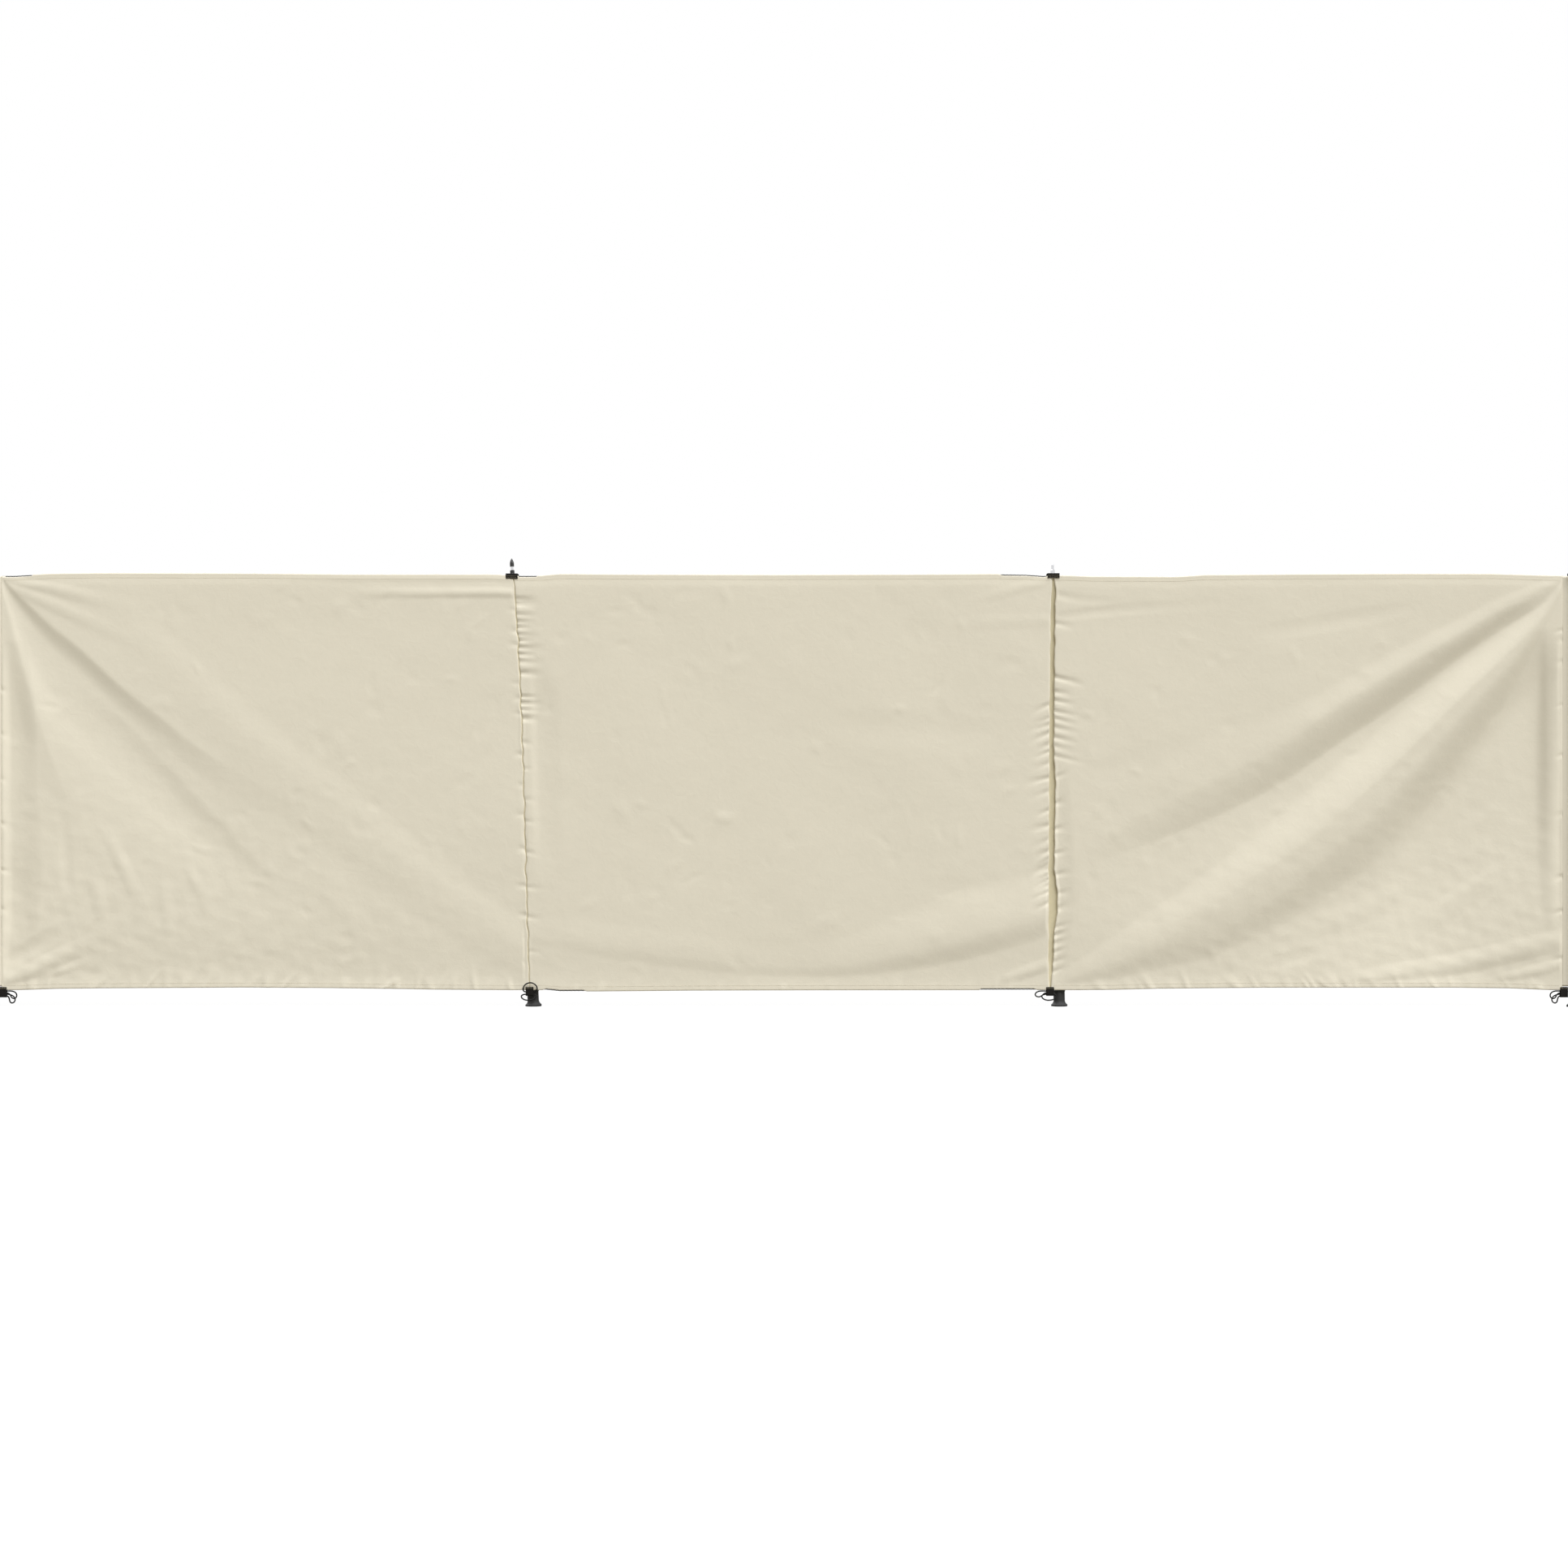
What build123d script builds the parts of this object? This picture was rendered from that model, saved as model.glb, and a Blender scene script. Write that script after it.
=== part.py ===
from build123d import *
import math
import os
from collections import namedtuple

# A cloth windbreak of three bays between four poles, in millimetres.
# X runs along the cloth, Y from front to back, Z up, from the ground under the left end pole.

# Cloth: three panels that hang between sewn seams
CLOTH_THICKNESS = 1.0
CLOTH_HEIGHT = 1200.0
CLOTH_LIFT = 48.0
LEFT_BAY_LOW = 1529.0
LEFT_BAY_HIGH = 1482.0
MIDDLE_BAY_LOW = 1506.0
MIDDLE_BAY_HIGH = 1562.0
RIGHT_BAY_LOW = 1482.0
RIGHT_BAY_HIGH = 1473.0
LEFT_SEAM_GAP = 3.0
RIGHT_SEAM_GAP = 9.0

# Hems: the edge is turned to the back round a cord, and stops short where the cord shows
HEM_DEPTH = 16.0
HEM_TAIL = 4.0
HEM_CORD_RADIUS = 1.5
HEM_CORD_EASE = 0.3
NOTCH_DEPTH = 4.5
LEFT_BAY_TOP_NOTCH = 92.0
MIDDLE_BAY_TOP_NOTCH_LEFT = 58.0
MIDDLE_BAY_TOP_NOTCH_RIGHT = 138.0
MIDDLE_BAY_LOW_NOTCH_LEFT = 122.0
MIDDLE_BAY_LOW_NOTCH_RIGHT = 164.0
LOW_NOTCH_INSET = 40.0

# Poles: thin steel tube, set in the end pockets or behind the inner seams
POLE_RADIUS = 12.5
POLE_WALL = 1.2
POLE_RISE = 1.0
LEFT_INNER_FOOT_SHIFT = 9.0
LEFT_INNER_TOP_SHIFT = -5.0
RIGHT_INNER_FOOT_SHIFT = 29.0
RIGHT_INNER_TOP_SHIFT = 1.0

# Sleeves: a loose pocket round the pole, with flaps sewn to the back of the cloth
SLEEVE_EASE = 1.5
SLEEVE_FLAP = 13.0
SLEEVE_TUCK = 3.0
SLEEVE_HEM_GAP = 3.0
END_SLEEVE_DROP = 2.0

# Pole top: a plastic plug with a nose, a steel spike and a pointed cap
PLUG_DEPTH = 24.0
PLUG_FLANGE = 3.5
PLUG_EASE = 0.15
NOSE_RADIUS = 6.5
NOSE_RISE = 14.5
NOSE_ROUND = 1.5
SPIKE_RADIUS = 4.0
SPIKE_RISE = 14.0
SPIKE_POINT = 4.0
SPIKE_TIP_RADIUS = 1.5
SHANK_RADIUS = 3.2
SHANK_LENGTH = 30.0
CAP_RADIUS = 6.0
CAP_GRIP = 4.0
CAP_SKIRT = 10.0
CAP_POINT = 13.0
CAP_TIP_RADIUS = 1.2
CAP_BULGE_SHARE = 0.62

# Top tabs: webbing folded over the pole top, with a rolled eyelet for the nose
WEBBING = 2.2
TOP_TAB_WIDTH = 35.0
TOP_TAB_LEG = 14.0
TOP_TAB_BEND = 4.0
EYELET_RADIUS = 11.5
EYELET_WALL = 1.0
EYELET_LIP = 1.6
NOSE_EASE = 0.4

# Bottom tabs: webbing folded round the lower hem, which holds the two peg loops
LOW_TAB_WIDTH = 23.0
LOW_TAB_LEG = 9.0
INNER_TAB_DROP = 16.6
END_TAB_DROP = 21.0
END_TAB_SHIFT = 5.0
TAB_EASE = 0.3

# Feet: a flared rubber ferrule that stands flat on the ground
FOOT_WALL = 3.85
FOOT_FLANGE = 7.0
FOOT_BRIM = 5.0
FOOT_FLARE = 14.0
FOOT_COLLAR = 28.0
FOOT_BEAD = 1.2
FOOT_BEAD_HEIGHT = 5.0
FOOT_FLOOR = 8.0
FOOT_EASE = 0.15
FOOT_TRIM = 3.0
FOOT_TAB_GAP = 0.2
END_TAB_GAP = 1.8
FOOT_FLARE_IN_SHARE = 0.28
FOOT_FLARE_UP_SHARE = 0.36

# Peg loops: elastic cord, routed from its bottom tab's middle (X), the cloth's front (Y) and edge (Z)
LOOP_RADIUS = 2.0
END_UPPER_LOOP = [
    (-4, 2.95, -2.8), (-14, 2.9, -2.6), (-25, 1.5, -2.4), (-35, -2, -4.5), (-42, -5, -11),
    (-42, -7, -19.5), (-35, -7.5, -24.5), (-27, -6.5, -21), (-23, -3.5, -14), (-16, 1.5, -8),
    (-4, 2.95, -7.2),
]
END_LOWER_LOOP = [
    (-4, 2.95, -11.6), (-14, 3.2, -11.8), (-23.5, 4.5, -14), (-31.5, 5.5, -19.5), (-35, 5, -27.5),
    (-32, 4, -35), (-25.5, 3.2, -38), (-20, 3, -34.5), (-18.5, 3.2, -27.5), (-16.5, 3, -20.5),
    (-12, 2.95, -16.4), (-4, 2.95, -15.9),
]
INNER_UPPER_LOOP = [
    (-4, 2.95, -2.8), (-14, 2.9, -2.6), (-24, 0, -2.3), (-33.5, -3.5, -2.6), (-41.5, -5, -6.5),
    (-44.5, -6, -12.5), (-40.5, -6.5, -17.7), (-32.5, -6.5, -19.2), (-25, -5.5, -16.2),
    (-19, -2.5, -10.6), (-13.5, 2.6, -7.5), (-4, 2.95, -7.2),
]
INNER_LOWER_LOOP = [
    (4, 2.95, -11.6), (12.5, 2.95, -11.9), (18.5, 2.4, -15.5), (18, 1.4, -21.5), (11.5, 0.6, -26.3),
    (2.5, 0, -28.7), (-7.5, -0.3, -29.2), (-16.5, 0, -27.2), (-23, 0.8, -22.5), (-24.5, 1.8, -17),
    (-20.5, 2.7, -13.4), (-12.5, 2.95, -11.9), (-4, 2.95, -11.6),
]
FRONT_LOOP = [
    (4, 2.95, -5.5), (13.5, 2.9, -5.3), (20, -0.5, -2), (23, -5.5, 5), (20, -7.5, 14), (12, -8, 20.5),
    (2, -8, 22.5), (-8, -8, 20), (-15.5, -7.5, 13), (-18.5, -5.5, 5), (-18, -0.5, -2),
    (-13.5, 2.9, -5.3), (-4, 2.95, -5.5),
]
BEND_SHARE = 0.45

# One overrun serves every cut
OVERRUN = 20.0

POLE_BORE = POLE_RADIUS - POLE_WALL
CLOTH_TOP = CLOTH_LIFT + CLOTH_HEIGHT
CHANNEL_RADIUS = HEM_CORD_RADIUS + HEM_CORD_EASE
HEM_BULGE = CHANNEL_RADIUS + CLOTH_THICKNESS
SLEEVE_RADIUS = POLE_RADIUS + SLEEVE_EASE + CLOTH_THICKNESS
POLE_TOP = CLOTH_TOP + POLE_RISE
TAB_FLOOR = POLE_TOP + PLUG_FLANGE
NOSE_TOP = TAB_FLOOR + NOSE_RISE
SPIKE_SHOULDER = NOSE_TOP + SPIKE_RISE
SPIKE_TIP = SPIKE_SHOULDER + SPIKE_POINT
CAP_FOOT = SPIKE_SHOULDER - CAP_GRIP
CAP_SHOULDER = CAP_FOOT + CAP_SKIRT
CAP_TIP = CAP_SHOULDER + CAP_POINT
EYELET_BORE = NOSE_RADIUS + NOSE_EASE
LOW_TAB_GAP = 2 * HEM_BULGE + TAB_EASE
LOW_TAB_TOP = CLOTH_LIFT + LOW_TAB_LEG
FOOT_FLARE_TOP = FOOT_BRIM + FOOT_FLARE
FOOT_HEIGHT = FOOT_FLARE_TOP + FOOT_COLLAR
FOOT_COLLAR_RADIUS = POLE_RADIUS + FOOT_EASE + FOOT_WALL
FOOT_RADIUS = FOOT_COLLAR_RADIUS + FOOT_FLANGE
FOOT_BEAD_RADIUS = FOOT_COLLAR_RADIUS + FOOT_BEAD
INNER_SET_BACK = FOOT_BEAD_RADIUS + LOW_TAB_GAP + WEBBING + FOOT_TAB_GAP
END_POCKET = FOOT_BEAD_RADIUS + LOW_TAB_WIDTH / 2 + END_TAB_SHIFT + END_TAB_GAP

# A station is one pole with the seam it holds: the seam's place at the lower and upper edge of the
# cloth, the pole's place on the ground and level with the upper edge, its set-back and the seam's gap.
Station = namedtuple("Station", "name seam_low seam_high foot_x top_x set_back gap")
left_seam_low = END_POCKET + LEFT_BAY_LOW
left_seam_high = END_POCKET + LEFT_BAY_HIGH
right_seam_low = left_seam_low + MIDDLE_BAY_LOW
right_seam_high = left_seam_high + MIDDLE_BAY_HIGH
end_low = right_seam_low + RIGHT_BAY_LOW
end_high = right_seam_high + RIGHT_BAY_HIGH
LEFT_END = Station("left_end", END_POCKET, END_POCKET, 0, 0, 0, 0)
LEFT_INNER = Station(
    "left_inner", left_seam_low, left_seam_high, left_seam_low + LEFT_INNER_FOOT_SHIFT,
    left_seam_high + LEFT_INNER_TOP_SHIFT, INNER_SET_BACK, LEFT_SEAM_GAP,
)
RIGHT_INNER = Station(
    "right_inner", right_seam_low, right_seam_high, right_seam_low + RIGHT_INNER_FOOT_SHIFT,
    right_seam_high + RIGHT_INNER_TOP_SHIFT, INNER_SET_BACK, RIGHT_SEAM_GAP,
)
end_lean = (end_high - end_low) / CLOTH_HEIGHT
RIGHT_END = Station(
    "right_end", end_low, end_high, end_low + END_POCKET - end_lean * CLOTH_LIFT, end_high + END_POCKET, 0, 0,
)
STATIONS = [LEFT_END, LEFT_INNER, RIGHT_INNER, RIGHT_END]


def between(low, high, z):
    """A place on a seam or pole at height z, from its places at the two edges of the cloth."""
    return low + (high - low) * (z - CLOTH_LIFT) / CLOTH_HEIGHT


def pole_x(station, z):
    """The pole's axis at height z."""
    return station.foot_x + (station.top_x - station.foot_x) * z / CLOTH_TOP


def stand(station):
    """The frame of one pole: its origin on the ground and its Z up the leaning pole."""
    lean = math.atan2(station.top_x - station.foot_x, CLOTH_TOP)
    along = (math.cos(lean), 0, -math.sin(lean))
    up = (math.sin(lean), 0, math.cos(lean))
    return Location(Plane(origin=(station.foot_x, station.set_back, 0), x_dir=along, z_dir=up))


def turned(outline):
    """A solid of revolution about Z, from closed edges of radius and height."""
    return revolve(Plane.XZ * make_face(outline), axis=Axis.Z)


def pole():
    """The thin tube that stands on the foot's floor."""
    length = POLE_TOP - FOOT_FLOOR
    tube = Cylinder(POLE_RADIUS, length, align=(Align.CENTER, Align.CENTER, Align.MIN))
    bore = Cylinder(POLE_BORE, length, align=(Align.CENTER, Align.CENTER, Align.MIN))
    return Pos(0, 0, FOOT_FLOOR) * (tube - bore)


def pole_plug():
    """The moulded plug: a stem in the tube, a flange on its end, and the nose round the spike."""
    stem_radius = POLE_BORE - PLUG_EASE
    bore_radius = SHANK_RADIUS + PLUG_EASE
    bore_floor = NOSE_TOP - SHANK_LENGTH
    outline = Polyline(
        (0, POLE_TOP - PLUG_DEPTH), (stem_radius, POLE_TOP - PLUG_DEPTH), (stem_radius, POLE_TOP),
        (POLE_RADIUS, POLE_TOP), (POLE_RADIUS, TAB_FLOOR), (NOSE_RADIUS, TAB_FLOOR),
        (NOSE_RADIUS, NOSE_TOP - NOSE_ROUND), (NOSE_RADIUS - NOSE_ROUND, NOSE_TOP),
        (bore_radius, NOSE_TOP), (bore_radius, bore_floor), (0, bore_floor), close=True,
    )
    return turned(outline)


def spike():
    """The steel pin: a thin shank in the plug, a shoulder on the nose and a blunt conical tip."""
    shank_foot = NOSE_TOP - SHANK_LENGTH
    outline = Polyline(
        (0, shank_foot), (SHANK_RADIUS, shank_foot), (SHANK_RADIUS, NOSE_TOP), (SPIKE_RADIUS, NOSE_TOP),
        (SPIKE_RADIUS, SPIKE_SHOULDER), (SPIKE_TIP_RADIUS, SPIKE_TIP), (0, SPIKE_TIP), close=True,
    )
    return turned(outline)


def spike_cap():
    """The pointed cap: a straight skirt under an ogive, with a blind bore for the spike."""
    bore_radius = SPIKE_RADIUS + PLUG_EASE
    bore_top = SPIKE_TIP + PLUG_EASE
    bulge = (
        CAP_TIP_RADIUS + (CAP_RADIUS - CAP_TIP_RADIUS) * CAP_BULGE_SHARE,
        (CAP_SHOULDER + CAP_TIP) / 2,
    )
    outline = [
        Line((bore_radius, CAP_FOOT), (CAP_RADIUS, CAP_FOOT)),
        Line((CAP_RADIUS, CAP_FOOT), (CAP_RADIUS, CAP_SHOULDER)),
        ThreePointArc((CAP_RADIUS, CAP_SHOULDER), bulge, (CAP_TIP_RADIUS, CAP_TIP)),
        Line((CAP_TIP_RADIUS, CAP_TIP), (0, CAP_TIP)),
        Line((0, CAP_TIP), (0, bore_top)),
        Line((0, bore_top), (bore_radius, bore_top)),
        Line((bore_radius, bore_top), (bore_radius, CAP_FOOT)),
    ]
    return turned(outline)


def top_tab(station):
    """Webbing folded over the pole top: a plate on the plug and a leg down each side of the cloth."""
    back = SLEEVE_RADIUS + TAB_EASE
    front = -back if station.set_back == 0 else -station.set_back
    roof = TAB_FLOOR + WEBBING
    hem = roof - TOP_TAB_LEG
    outer = [(front - WEBBING, hem), (front - WEBBING, roof), (back + WEBBING, roof), (back + WEBBING, hem)]
    inner = [(back, hem), (back, TAB_FLOOR), (front, TAB_FLOOR), (front, hem)]
    profile = make_face(Polyline(*outer, *inner, close=True))
    profile = fillet(profile.vertices().group_by(Axis.Y)[-1], TOP_TAB_BEND)
    band = extrude(Plane.YZ * profile, amount=TOP_TAB_WIDTH / 2, both=True)
    hole = Pos(0, 0, TAB_FLOOR) * Cylinder(EYELET_BORE + EYELET_WALL, OVERRUN)
    return band - hole


def top_eyelet():
    """A rolled metal ring: a barrel through the webbing and a domed lip on top of it."""
    roof = TAB_FLOOR + WEBBING
    barrel = EYELET_BORE + EYELET_WALL
    crown = ((EYELET_BORE + EYELET_RADIUS) / 2, roof + EYELET_LIP)
    outline = [
        Line((EYELET_BORE, TAB_FLOOR), (barrel, TAB_FLOOR)),
        Line((barrel, TAB_FLOOR), (barrel, roof)),
        Line((barrel, roof), (EYELET_RADIUS, roof)),
        ThreePointArc((EYELET_RADIUS, roof), crown, (EYELET_BORE, roof)),
        Line((EYELET_BORE, roof), (EYELET_BORE, TAB_FLOOR)),
    ]
    return turned(outline)


def foot(station):
    """The flared ferrule, turned about its pole and trimmed flat where it stands."""
    bore = POLE_RADIUS + FOOT_EASE
    bead_foot = FOOT_HEIGHT - FOOT_BEAD_HEIGHT
    flare = (
        FOOT_COLLAR_RADIUS + (FOOT_RADIUS - FOOT_COLLAR_RADIUS) * FOOT_FLARE_IN_SHARE,
        FOOT_BRIM + (FOOT_FLARE_TOP - FOOT_BRIM) * FOOT_FLARE_UP_SHARE,
    )
    bead = (FOOT_BEAD_RADIUS, (bead_foot + FOOT_HEIGHT) / 2)
    outline = [
        Line((0, -FOOT_TRIM), (FOOT_RADIUS, -FOOT_TRIM)),
        Line((FOOT_RADIUS, -FOOT_TRIM), (FOOT_RADIUS, FOOT_BRIM)),
        ThreePointArc((FOOT_RADIUS, FOOT_BRIM), flare, (FOOT_COLLAR_RADIUS, FOOT_FLARE_TOP)),
        Line((FOOT_COLLAR_RADIUS, FOOT_FLARE_TOP), (FOOT_COLLAR_RADIUS, bead_foot)),
        ThreePointArc((FOOT_COLLAR_RADIUS, bead_foot), bead, (FOOT_COLLAR_RADIUS, FOOT_HEIGHT)),
        Line((FOOT_COLLAR_RADIUS, FOOT_HEIGHT), (bore, FOOT_HEIGHT)),
        Line((bore, FOOT_HEIGHT), (bore, FOOT_FLOOR)),
        Line((bore, FOOT_FLOOR), (0, FOOT_FLOOR)),
        Line((0, FOOT_FLOOR), (0, -FOOT_TRIM)),
    ]
    ferrule = stand(station) * turned(outline)
    ground_align = (Align.CENTER, Align.CENTER, Align.MAX)
    ground = Box(2 * FOOT_RADIUS + OVERRUN, 2 * FOOT_RADIUS + OVERRUN, OVERRUN, align=ground_align)
    return ferrule - Pos(station.foot_x, station.set_back, 0) * ground


def drawn_tube(station, low, high, radius):
    """A round bar along the leaning pole, with level ends at two heights."""
    rings = [Pos(pole_x(station, z), station.set_back, z) * Circle(radius) for z in (low, high)]
    return loft(rings)


def sewn_fin(station, low, high):
    """The two layers of the pocket, sewn flat together from the seam to the tube round the pole."""
    sections = []
    for z in (low, high):
        seam = Vector(between(station.seam_low, station.seam_high, z), CLOTH_THICKNESS * 3 / 2, z)
        axis = Vector(pole_x(station, z), station.set_back, z)
        inward = (axis - seam).normalized()
        across = Vector(-inward.Y, inward.X, 0) * CLOTH_THICKNESS
        root = axis - inward * (SLEEVE_RADIUS - CLOTH_THICKNESS / 2)
        tip = seam + inward * (CLOTH_THICKNESS / 4)
        corners = [tip + across, root + across, root - across, tip - across]
        sections.append(make_face(Polyline(*corners, close=True)))
    return loft(sections)


def seam_strip(station, low, high, left, right):
    """A flat strip of cloth along the seam, behind the panels, between two heights."""
    corners = []
    for z in (low, high):
        seam = between(station.seam_low, station.seam_high, z)
        corners += [(seam - left, z), (seam + right, z)]
    corners[2:] = reversed(corners[2:])
    face = make_face(Polyline(*corners, close=True))
    return Pos(0, 2 * CLOTH_THICKNESS, 0) * extrude(Plane.XZ * face, amount=CLOTH_THICKNESS)


def sleeve(station):
    """The pocket that holds one pole, with its sewn flaps."""
    strip_low = CLOTH_LIFT + HEM_DEPTH + HEM_TAIL + SLEEVE_HEM_GAP
    strip_high = CLOTH_TOP - HEM_DEPTH - HEM_TAIL - SLEEVE_HEM_GAP
    low, high = strip_low, strip_high
    left = right = SLEEVE_FLAP
    if station.set_back == 0:
        low, high = LOW_TAB_TOP + END_SLEEVE_DROP, CLOTH_TOP - END_SLEEVE_DROP
        tucked = (SLEEVE_TUCK, SLEEVE_FLAP)
        left, right = tucked if station.foot_x < station.seam_low else tucked[::-1]
    pocket = drawn_tube(station, low, high, SLEEVE_RADIUS) + sewn_fin(station, low, high)
    pocket += seam_strip(station, strip_low, strip_high, left, right)
    return pocket - drawn_tube(station, low - OVERRUN, high + OVERRUN, SLEEVE_RADIUS - CLOTH_THICKNESS)


def hem_outline():
    """The cloth in section, front to back and up, with the cord channel at both edges."""
    back = 2 * HEM_BULGE
    top_centre, low_centre = CLOTH_TOP - HEM_BULGE, CLOTH_LIFT + HEM_BULGE
    top_stitch, low_stitch = CLOTH_TOP - HEM_DEPTH, CLOTH_LIFT + HEM_DEPTH
    cloth, double = CLOTH_THICKNESS, 2 * CLOTH_THICKNESS
    outer = [
        Line((0, low_centre), (0, top_centre)),
        ThreePointArc((0, top_centre), (HEM_BULGE, CLOTH_TOP), (back, top_centre)),
        Polyline(
            (back, top_centre), (double, top_stitch), (double, top_stitch - HEM_TAIL),
            (cloth, top_stitch - HEM_TAIL), (cloth, low_stitch + HEM_TAIL),
            (double, low_stitch + HEM_TAIL), (double, low_stitch), (back, low_centre),
        ),
        ThreePointArc((back, low_centre), (HEM_BULGE, CLOTH_LIFT), (0, low_centre)),
    ]
    section = make_face(outer)
    for centre, stitch, side in ((top_centre, top_stitch, 1), (low_centre, low_stitch, -1)):
        crown = (HEM_BULGE, centre + side * CHANNEL_RADIUS)
        channel = [
            ThreePointArc((cloth, centre), crown, (back - cloth, centre)),
            Line((back - cloth, centre), (cloth, stitch)),
            Line((cloth, stitch), (cloth, centre)),
        ]
        section -= make_face(channel)
    return section


def panel_edges(left, right):
    """The two slanting side edges of a panel, run past its upper and lower edge."""
    low, high = CLOTH_LIFT - OVERRUN, CLOTH_TOP + OVERRUN
    corners = [(between(left.seam_low, left.seam_high, z) + left.gap / 2, z) for z in (low, high)]
    others = [(between(right.seam_low, right.seam_high, z) - right.gap / 2, z) for z in (high, low)]
    return corners + others


def panel(left, right, notches):
    """One bay of cloth with its hems, trimmed to the seams, less the notches in the hems."""
    edges = panel_edges(left, right)
    start = min(x for x, z in edges)
    length = max(x for x, z in edges) - start
    cloth = Pos(start, 0, 0) * extrude(Plane.YZ * hem_outline(), amount=length)
    trim = extrude(Plane.XZ * make_face(Polyline(*edges, close=True)), amount=OVERRUN, both=True)
    cloth = cloth & trim
    for middle, length, z in notches:
        notch = Box(length, OVERRUN, 2 * NOTCH_DEPTH)
        cloth -= Pos(middle, 0, z) * notch
    return cloth


def bay_notches():
    """Where the hem stops short: middle, length and edge height of each notch, bay by bay."""
    tab_edge = TOP_TAB_WIDTH / 2
    inner_left = LEFT_INNER.top_x + tab_edge + MIDDLE_BAY_TOP_NOTCH_LEFT / 2
    inner_right = RIGHT_INNER.top_x - tab_edge - MIDDLE_BAY_TOP_NOTCH_RIGHT / 2
    low_left = LEFT_INNER.seam_low + LOW_NOTCH_INSET + MIDDLE_BAY_LOW_NOTCH_LEFT / 2
    low_right = RIGHT_INNER.seam_low - LOW_NOTCH_INSET - MIDDLE_BAY_LOW_NOTCH_RIGHT / 2
    left_bay = [(LEFT_END.seam_high + LEFT_BAY_TOP_NOTCH / 2, LEFT_BAY_TOP_NOTCH, CLOTH_TOP)]
    middle_bay = [
        (inner_left, MIDDLE_BAY_TOP_NOTCH_LEFT, CLOTH_TOP),
        (inner_right, MIDDLE_BAY_TOP_NOTCH_RIGHT, CLOTH_TOP),
        (low_left, MIDDLE_BAY_LOW_NOTCH_LEFT, CLOTH_LIFT),
        (low_right, MIDDLE_BAY_LOW_NOTCH_RIGHT, CLOTH_LIFT),
    ]
    return left_bay, middle_bay, []


def hem_cords(z):
    """The three straight cords in one edge's hems, each from seam to seam."""
    cords = []
    for left, right in zip(STATIONS, STATIONS[1:]):
        start = between(left.seam_low, left.seam_high, z) + left.gap / 2
        end = between(right.seam_low, right.seam_high, z) - right.gap / 2
        cord = Cylinder(HEM_CORD_RADIUS, end - start, rotation=(0, 90, 0))
        cords.append(Pos((start + end) / 2, HEM_BULGE, z) * cord)
    return Compound(children=cords)


def tab_x(station):
    """The middle of a bottom tab: on an inner seam, or just off an end stitch."""
    return station.seam_low + (END_TAB_SHIFT if station.set_back == 0 else 0)


def bottom_tab(station):
    """Webbing folded under the lower hem, with a leg up each side of the cloth."""
    inner_round, outer_round = LOW_TAB_GAP / 2, LOW_TAB_GAP / 2 + WEBBING
    foot = CLOTH_LIFT - (END_TAB_DROP if station.set_back == 0 else INNER_TAB_DROP)
    spring = foot + outer_round
    middle = inner_round
    front, back = -WEBBING, LOW_TAB_GAP + WEBBING
    outline = [
        Line((front, spring), (front, LOW_TAB_TOP)),
        Line((front, LOW_TAB_TOP), (0, LOW_TAB_TOP)),
        Line((0, LOW_TAB_TOP), (0, spring)),
        ThreePointArc((0, spring), (middle, spring - inner_round), (LOW_TAB_GAP, spring)),
        Line((LOW_TAB_GAP, spring), (LOW_TAB_GAP, LOW_TAB_TOP)),
        Line((LOW_TAB_GAP, LOW_TAB_TOP), (back, LOW_TAB_TOP)),
        Line((back, LOW_TAB_TOP), (back, spring)),
        ThreePointArc((back, spring), (middle, foot), (front, spring)),
    ]
    band = extrude(Plane.YZ * make_face(outline), amount=LOW_TAB_WIDTH / 2, both=True)
    return Pos(tab_x(station), 0, 0) * band


def bend_radii(points):
    """The largest arc that fits at each corner of a cord's route."""
    radii = []
    for before, corner, after in zip(points, points[1:], points[2:]):
        come, go = corner - before, after - corner
        turn = math.radians(come.get_angle(go))
        radii.append(BEND_SHARE * min(come.length, go.length) / math.tan(turn / 2))
    return radii


def peg_loop(name, station, route, side):
    """One elastic loop along its route, to the left or mirrored to the right of its tab."""
    points = [Vector(tab_x(station) + side * x, y, CLOTH_LIFT + z) for x, y, z in route]
    radii = bend_radii(points)
    path = FilletPolyline(*points, radius=radii)
    loop = sweep((path ^ 0) * Circle(LOOP_RADIUS), path=path)
    ideal = math.pi * LOOP_RADIUS**2 * path.length
    print(name, "radii", [round(r, 1) for r in radii], "length", round(path.length, 1),
          "volume share", round(loop.volume / ideal, 4))
    return loop


def loop_routes(station):
    """The routes of a tab's two loops: beside the end poles, under the inner tabs or up the cloth."""
    if station.set_back == 0:
        return END_UPPER_LOOP, END_LOWER_LOOP
    return (FRONT_LOOP if station is LEFT_INNER else INNER_UPPER_LOOP), INNER_LOWER_LOOP


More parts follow.
